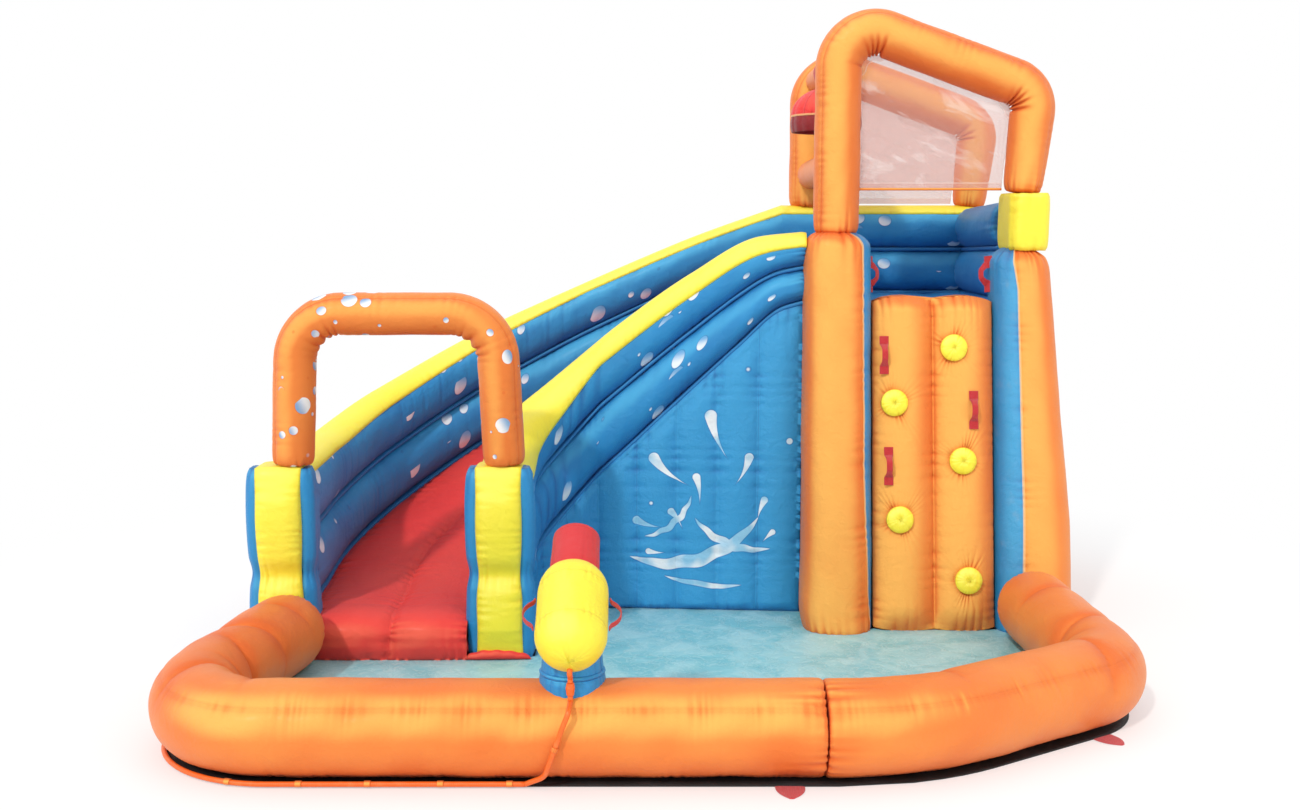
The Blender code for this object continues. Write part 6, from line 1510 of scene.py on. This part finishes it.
def cannon():
    """Blue cuff and neck, yellow barrel with gathered ends, red sleeve round the jet, webbing grips."""
    levels = np.linspace(WALL_CENTRE + 0.09, CUFF_TOP, 26)
    radii = CUFF_RADIUS * (1 - 0.03 * np.clip((levels - CUFF_TOP + 0.02) / 0.02, 0, 1) ** 2)
    rings, turn = lathed(zip(levels, radii), CANNON_X, CANNON_Y, 110, 0.03, 20, 1.0)
    skin("cannon_cuff_skin", rings, BLUE, "cannon_cuff", seam=(CUFF_TOP - levels)[:, None] + 0.003,
         dip=ring_pleat(turn, 20, 1.0) * 0.6)
    levels = np.linspace(CUFF_TOP + GAP, RING_TOP, 10)
    radii = CUFF_RADIUS * (0.955 + 0.045 * np.sin(math.pi * np.arange(10) / 9))
    rings, turn = lathed(zip(levels, radii), CANNON_X, CANNON_Y, 110, 0.03, 20, 1.0)
    skin("cannon_ring_skin", rings, BLUE, "cannon_ring", "cannon_turntable", seam=0.004, dip=0.2)
    levels = np.linspace(RING_TOP + GAP, NECK_TOP, 26)
    radii = profile(((0, NECK_RADIUS), (0.3, NECK_RADIUS * 0.97), (0.6, NECK_RADIUS * 0.95),
                     (1, NECK_RADIUS * 0.90)),
                    np.linspace(0, 1, 26))
    rings, turn = lathed(zip(levels, radii), CANNON_X, CANNON_Y, 110, 0.05, 22, 3.0)
    neck = skin("cannon_neck_skin", rings, BLUE, "cannon_neck", None, seam=(levels - RING_TOP)[:, None] + 0.002,
                dip=ring_pleat(turn, 22, 3.0))
    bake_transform(neck)

    way = np.array((0.0, math.cos(TILT), math.sin(TILT)))
    middle = np.array((CANNON_X, CANNON_Y, CAPSULE_Z))
    up = np.cross(way, RIGHT)
    lift = np.radians(np.linspace(88, 0, 26))
    dome, size = BARREL_HALF + BARREL_RADIUS * np.sin(lift), BARREL_RADIUS * np.cos(lift)
    run = np.concatenate([-dome, np.linspace(-BARREL_HALF, BARREL_HALF, 22)[1:-1], dome[::-1]])
    radius = np.concatenate([size, np.full(20, BARREL_RADIUS), size[::-1]])
    turn = turns(120)
    rings = wheel(middle, way, run[:, None], radius[:, None], turn, RIGHT, up)
    ends = np.exp(-(radius / 0.030)[:, None]) * ring_pleat(turn, 13, 1.0)
    belts = np.abs(np.abs(run) - BARREL_HALF)[:, None] + 0 * turn
    dip = ends + 0.8 * np.exp(-belts / 0.022) * ring_pleat(turn, 24, 2.0)
    depth = dip * 0.008 + 0.004 * unevenness(run + 1, turn, 2.0)
    rings = rings - turned_out(rings) * depth[..., None]
    skin("cannon_barrel_skin", rings, YELLOW, "cannon_barrel", "cannon_gun", dip=np.clip(dip, 0, 1),
         seam=np.minimum(belts, radius[:, None] + 0.003))

    bore = SLEEVE_RADIUS - SLEEVE_WALL
    base = SLEEVE_REACH - SLEEVE_DEEP
    shape = ((SLEEVE_START, 0.98 * SLEEVE_RADIUS), (0.20, SLEEVE_RADIUS), (0.29, 0.97 * SLEEVE_RADIUS),
             (SLEEVE_REACH, 0.965 * SLEEVE_RADIUS))
    out_run = np.linspace(SLEEVE_START, SLEEVE_REACH - 0.003, 34)
    out_radius = profile(shape, out_run)
    in_run = np.linspace(SLEEVE_REACH - 0.003, base, 18)
    in_radius = profile(((base, bore * 0.9), (base + 0.012, bore), (SLEEVE_REACH, bore * 0.965)), in_run)
    run = np.concatenate([out_run, [SLEEVE_REACH, SLEEVE_REACH], in_run])
    radius = np.concatenate([out_radius, [out_radius[-1] - 0.004, in_radius[0] + 0.003], in_radius])
    folds = ring_pleat(turn, 18, 4.0)
    fold = 1 - 0.045 * folds * np.exp(-np.abs(run - 0.17)[:, None] / 0.06) - 0.02 * ring_pleat(turn, 11, 2.0)
    rings = wheel(middle, way, run[:, None], radius[:, None] * fold, turn, RIGHT, up)
    rings[:34] += way * (0.010 * folds * np.exp(-(out_run - SLEEVE_START) / 0.02)[:, None])[..., None]
    skin("nozzle_sleeve_skin", rings, RED_SLEEVE, "nozzle_sleeve", "cannon_gun", dip=folds * 0.5,
         seam=np.abs(run - (SLEEVE_REACH - 0.012))[:, None] + 0.001)
    share = np.linspace(0, 1, 41)
    bulge = profile(((0, 0), (0.08, 0.10), (0.22, 0.62), (0.38, 0.94), (0.5, 1), (0.62, 0.94), (0.78, 0.62),
                     (0.92, 0.10), (1, 0)), share)
    for name, out in (("grip_left", -RIGHT), ("grip_right", RIGHT)):
        line = middle + out * (BARREL_RADIUS + 0.0012 + bulge * GRIP_OUT)[:, None]
        line = line + way * ((share - 0.5) * 2 * GRIP_HALF)[:, None]
        ribbon(name + "_strap", line, out, 0.022, WEBBING_THICK, name, "cannon_gun")
    return middle, way


def hose_piece(name, line, node, body="park"):
    """Round hose along a line."""
    rings = tube(line, HOSE_RADIUS, 20, UP if abs(directions(line)[0][2]) < 0.9 else AHEAD)[0]
    return skin(name, rings, HOSE, node, body)


def hose(middle, way):
    """Water line: inlet at the left, along the base, up the wall to the barrel's tail, in small loops."""
    down = unit(np.array((0.0, -0.62, -0.78)))
    tail = middle - way * BARREL_HALF + down * (BARREL_RADIUS - 0.006)
    coupling_y = CANNON_Y - CUFF_RADIUS - COUPLING_RADIUS - 0.003
    high, low = (np.array((CANNON_X, coupling_y, z)) for z in (COUPLING_TOP, COUPLING_FOOT))
    whip = smooth_line([tail, tail + down * 0.016, high + (0, 0, 0.014), high + (0, 0, 0.0006)], 24)
    whip_tube = hose_piece("hose_whip_tube", whip, "hose_whip", None)
    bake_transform(whip_tube)
    round_wall = WALL_RADIUS / math.cos(math.pi / 14) + HOSE_RADIUS + HOSE_CLEAR
    points = [low - (0, 0, 0.0006), low - (0, 0, 0.020)]
    for degrees in (38, 20, 0, -20, -38):
        phi, share = math.radians(degrees), (42 - degrees) / 90
        slack = 0.030 * max(0.0, degrees / 38) ** 1.6
        points.append((CANNON_X + (HOSE_TURN_X + 0.05 - CANNON_X) * share,
                       POOL_FRONT - slack - round_wall * math.cos(phi),
                       WALL_CENTRE + round_wall * math.sin(phi)))
    ground_y, ground_z = POOL_FRONT - HOSE_OUT, MAT_TOP + HOSE_RADIUS + GAP
    points += [(HOSE_TURN_X + 0.012, ground_y - 0.003, ground_z + 0.006), (HOSE_TURN_X, ground_y, ground_z)]
    riser = smooth_line(points, 90)
    riser_tube = hose_piece("hose_riser_tube", riser, "hose_riser", None)
    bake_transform(riser_tube)
    line = beside(pool_line(), -HOSE_OUT)[::-1]
    line = np.array([p for p in line if p[0] < HOSE_TURN_X - 0.05 and p[1] < HOSE_END_Y - 0.02])
    first = [(HOSE_TURN_X - 2 * GAP, ground_y, 0.0), (HOSE_TURN_X - 0.04, ground_y, 0.0)]
    run_line = np.vstack([first, line, [(line[-1][0], HOSE_END_Y, 0.0)]])
    run_line[:, 2] = ground_z
    run_line = even(run_line, 0.012)
    hose_piece("hose_run_tube", run_line, "hose_run")
    run = along(run_line)
    for number, place in enumerate((0.05, 0.27, 0.49, 0.71, 0.94), 1):
        i = int(np.argmin(np.abs(run - place)))
        turn = np.linspace(math.radians(-30), math.radians(210), 25)
        strap(f"hose_loop_{number}", run_line[i], turn, sideways(run_line)[i], UP, 0.020)
    i = int(np.argmax(riser[:, 2] < WALL_CENTRE - 0.004))
    travel = directions(riser)[i]
    axis = unit(np.cross(travel, (0.0, -1.0, 0.35)))
    strap("hose_tie", riser[i], np.linspace(0, FULL, 31), unit(np.cross(axis, travel)), axis, 0.014)
    places = np.linspace(0, 0.070, 48)[:, None]
    radius = np.interp(places, (0.0, 0.004, 0.026, 0.028, 0.044, 0.046, 0.066, 0.068, 0.070),
                       (0.0095, 0.0135, 0.0140, 0.0115, 0.0115, 0.0145, 0.0145, 0.0125, 0.0100))
    turn = turns(48)
    knurl = 1 - 0.05 * (np.abs(np.sin(turn * 9)) > 0.8) * (places > 0.046)
    end = np.array((run_line[-1, 0], run_line[-1, 1], 0.0165))
    skin("hose_inlet_coupling", wheel(end, AHEAD, places, radius * knurl, turn, RIGHT, UP), PLASTIC)


def strap(name, spot, turn, side, up, wide):
    """Short orange cloth strap bent round the hose at a spot, through the given turns."""
    out = np.cos(turn)[:, None] * side + np.sin(turn)[:, None] * up
    line = spot + out * (HOSE_RADIUS + 0.001)
    across = unit(np.cross(directions(line), out))
    t = np.concatenate([np.linspace(-1, 1, 8), np.linspace(1, -1, 8)])
    high = np.concatenate([np.zeros(8), np.ones(8)]) * 0.0016
    grid = line[:, None] + across[:, None] * (wide / 2 * t)[None, :, None] + out[:, None] * high[None, :, None]
    skin(name, grid, ORANGE)


def anchors():
    """Red anchor straps on the ground: flat webbing that narrows to a folded tip."""
    edges = (("anchor_front", -1, -POOL_FRONT + WALL_RADIUS - MAT_MARGIN),
             ("anchor_rear", 1, REAR_LINE_Y + WALL_HALF))
    for name, sign, edge in edges:
        line = even(np.array(((ANCHOR_X + 0.003, sign * (edge + GAP), 0.0),
                              (ANCHOR_X, sign * ANCHOR_TIP_Y, 0.0))), 0.004)
        share = np.clip((along(line) / along(line)[-1] - 0.05) / 0.95, 0, 1)
        ribbon(name + "_strap", line, UP, 0.094 * (1 - 0.85 * share ** 2.5), ANCHOR_THICK, name)
    line, side = pool_line(), sideways(pool_line())
    i = int(np.argmin(np.abs(line[:, 0] - ANCHOR_RIGHT_X) + 9 * (line[:, 1] > RIGHT_CUT[1])))
    out = -side[i]
    start = line[i] + out * (WALL_RADIUS - MAT_MARGIN + 2 * GAP)
    path = even(np.array((start, start + out * 0.089)) * (1, 1, 0), 0.004)
    share = along(path) / along(path)[-1]
    ribbon("anchor_right_strap", path, UP, 0.090 * (1 - 0.85 * share ** 3), ANCHOR_THICK, "anchor_right")


def air_sleeve(rear):
    """Orange cloth sleeve for the blower, open at its mouth and gathered where it is sewn on."""
    dense = resample(rear, np.linspace(0, 1, 401))
    i = round(AIR_SHARE * 400)
    out = -sideways(dense)[i]
    sunk = 0.010
    near = dense[i] + out * (BED_LAND + PANEL_THICK + PANEL_BULGE - sunk)
    centre = near + UP * (MAT_TOP + AIR_RADIUS)
    long_way = AIR_LONG + sunk
    out_run = np.linspace(0, long_way - 0.002, 36)
    out_radius = AIR_RADIUS * profile(((0, 0.96), (0.2, 0.985), (0.80, 1.0), (0.92, 0.985), (1, 0.955)),
                                      out_run / long_way)
    in_run = np.linspace(long_way - 0.002, 0.03, 30)
    in_radius = (AIR_RADIUS - AIR_WALL) * profile(((0, 0.98), (0.9, 1.0), (1, 0.97)), in_run / long_way)
    run = np.concatenate([out_run, [long_way, long_way], in_run])
    radius = np.concatenate([out_radius, [out_radius[-1] - 0.003, in_radius[0] + 0.003], in_radius])
    turn = turns(110)
    gather = ring_pleat(turn, 17, 2.0) * np.exp(-run[:, None] / 0.06)
    ring_folds = 0.5 + 0.5 * np.sin(run[:, None] / 0.011 + 2 * np.sin(turn) + 1.5 * np.sin(3 * turn))
    fold = 1 - 0.10 * gather - 0.03 * ring_folds
    grid = wheel(centre, out, run[:, None], radius[:, None] * fold, turn, np.cross(out, UP), UP)
    grid[..., 2] = np.maximum(grid[..., 2], MAT_TOP * 0.3)
    skin("air_inlet_sleeve_skin", grid, ORANGE, "air_inlet_sleeve",
         dip=np.clip(gather + ring_folds * 0.2, 0, 1),
         seam=np.abs(run - (long_way - 0.020))[:, None] + 0.001)


def red_flap():
    """Red cloth edge that wraps the right post's foot: a low roll, highest in its middle."""
    x = np.linspace(FRONT_EXIT_X - POST_HALF + 0.002, FRONT_EXIT_X + FLAP_REACH, 60)
    share = np.linspace(0, 1, 60)
    tall = FLAP_TALL * np.sin(math.pi * np.clip(share * 0.96 + 0.04, 0, 1)) ** 0.5 + 0.002 * np.sin(x / 0.009)
    turn = turns(24)
    middle_y = POST_FRONT_Y - 0.012
    wide = FLAP_HALF * np.sin(math.pi * np.clip(share * 0.98 + 0.01, 0, 1)) ** 0.4
    grid = np.zeros((60, 24, 3))
    grid[..., 0] = x[:, None]
    grid[..., 1] = middle_y + wide[:, None] * np.cos(turn) + 0.012 * share[:, None]
    grid[..., 2] = MAT_TOP + FLOOR_THICK + 0.0005 + tall[:, None] * (0.5 + 0.5 * np.sin(turn))
    skin("exit_flap", grid, RED, seam=0.02, dip=0.1)


def seen_ray(paint):
    """1 on rays that are seen directly, in a reflection or through the netting, 0 on those that light the park."""
    path = paint.node("LightPath")
    camera, glossy, through = (Field(paint, path.outputs[f"Is {kind} Ray"])
                               for kind in ("Camera", "Glossy", "Transmission"))
    return camera.most(glossy).most(through)


def stage():
    """Pale floor that fades to white far out, soft key light and an even world."""
    paint = Paint("studio_floor")
    x, y, _ = paint.split(paint.place())
    far = ((x * x + y * y) ** 0.5).step(1.8, 4.0) * 0.60 + 0.40
    plain = paint.node("BsdfDiffuse", Color=(0.93, 0.93, 0.93, 1.0))
    glow = paint.node("Emission", Color=WHITE, Strength=1.0)
    mixed = paint.node("MixShader", i0=far * seen_ray(paint), i1=plain.outputs[0], i2=glow.outputs[0])
    paint.node("OutputMaterial", i0=mixed.outputs[0])
    mesh = bpy.data.meshes.new("studio_floor")
    corners = ((-1, -1), (1, -1), (1, 1), (-1, 1))
    mesh.from_pydata([(x * FLOOR_REACH, y * FLOOR_REACH, FLOOR_LEVEL) for x, y in corners], [], [(0, 1, 2, 3)])
    mesh.materials.append(paint.made)
    floor = bpy.data.objects.new("studio_floor", mesh)
    bpy.context.scene.collection.objects.link(floor)

    paint = Paint("studio", "worlds")
    bpy.context.scene.world = paint.made
    lit = paint.node("Background", Color=(0.98, 0.985, 1.0, 1.0), Strength=0.87)
    seen = paint.node("Background", Color=WHITE, Strength=1.0)
    mixed = paint.node("MixShader", i0=seen_ray(paint), i1=lit.outputs[0], i2=seen.outputs[0])
    paint.node("OutputWorld", i0=mixed.outputs[0])

    for name, kind, spot, aim, energy, size, colour in LIGHTS:
        lamp = bpy.data.lights.new(name, kind)
        lamp.energy, lamp.color = energy, colour
        if kind == "SUN":
            lamp.angle = size
        else:
            lamp.shape, lamp.size, lamp.size_y = "RECTANGLE", size, size
        made = bpy.data.objects.new(name, lamp)
        made.location = spot
        made.rotation_euler = (Vector(aim) - Vector(spot)).to_track_quat("-Z", "Y").to_euler()
        bpy.context.scene.collection.objects.link(made)

    lens = bpy.data.cameras.new("photo_view")
    lens.lens, lens.sensor_width, lens.clip_end = LENS, 36.0, 200.0
    camera = bpy.data.objects.new("photo_view", lens)
    camera.location = EYE
    camera.rotation_euler = (math.pi / 2 - LOOK_DOWN, 0.0, 0.0)
    bpy.context.scene.collection.objects.link(camera)
    bpy.context.scene.camera = camera
    bpy.context.scene.view_settings.view_transform = "Standard"


stage()
pool_walls()
ground_sheets()
rear_wall_line, front_wall_line = slide_lines()
slide_wall("rear", rear_wall_line, REAR_TOP, True)
slide_wall("front", front_wall_line, FRONT_TOP, False)
slide_bed(rear_wall_line, front_wall_line)
side_panel("splash_panel_skin", front_wall_line, 1, SPLASH, "splash_panel", 1.0)
side_panel("rear_panel_skin", rear_wall_line, -1, ORANGE, "slide_rear_panel", 3.0)
exit_post("left", REAR_EXIT_X)
exit_post("right", FRONT_EXIT_X)
splash_arch()
column("left", COLUMN_LEFT_IN, COLUMN_LEFT_OUT)
column("right", COLUMN_RIGHT_IN, COLUMN_RIGHT_OUT)
climbing_wall()
tower_body()
guard_right()
top_frames()
bucket()
hanging_loop()
for count, (place_x, place_z) in enumerate(FOOTHOLDS, 1):
    foothold(count, place_x, place_z)
handles()
barrel_middle, barrel_way = cannon()
hose(barrel_middle, barrel_way)
anchors()
air_sleeve(rear_wall_line)
red_flap()
for node in ("hose_coupling", "jet_nozzle"):
    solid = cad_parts[node]
    solid.data.materials.clear()
    solid.data.materials.append(PLASTIC[0])
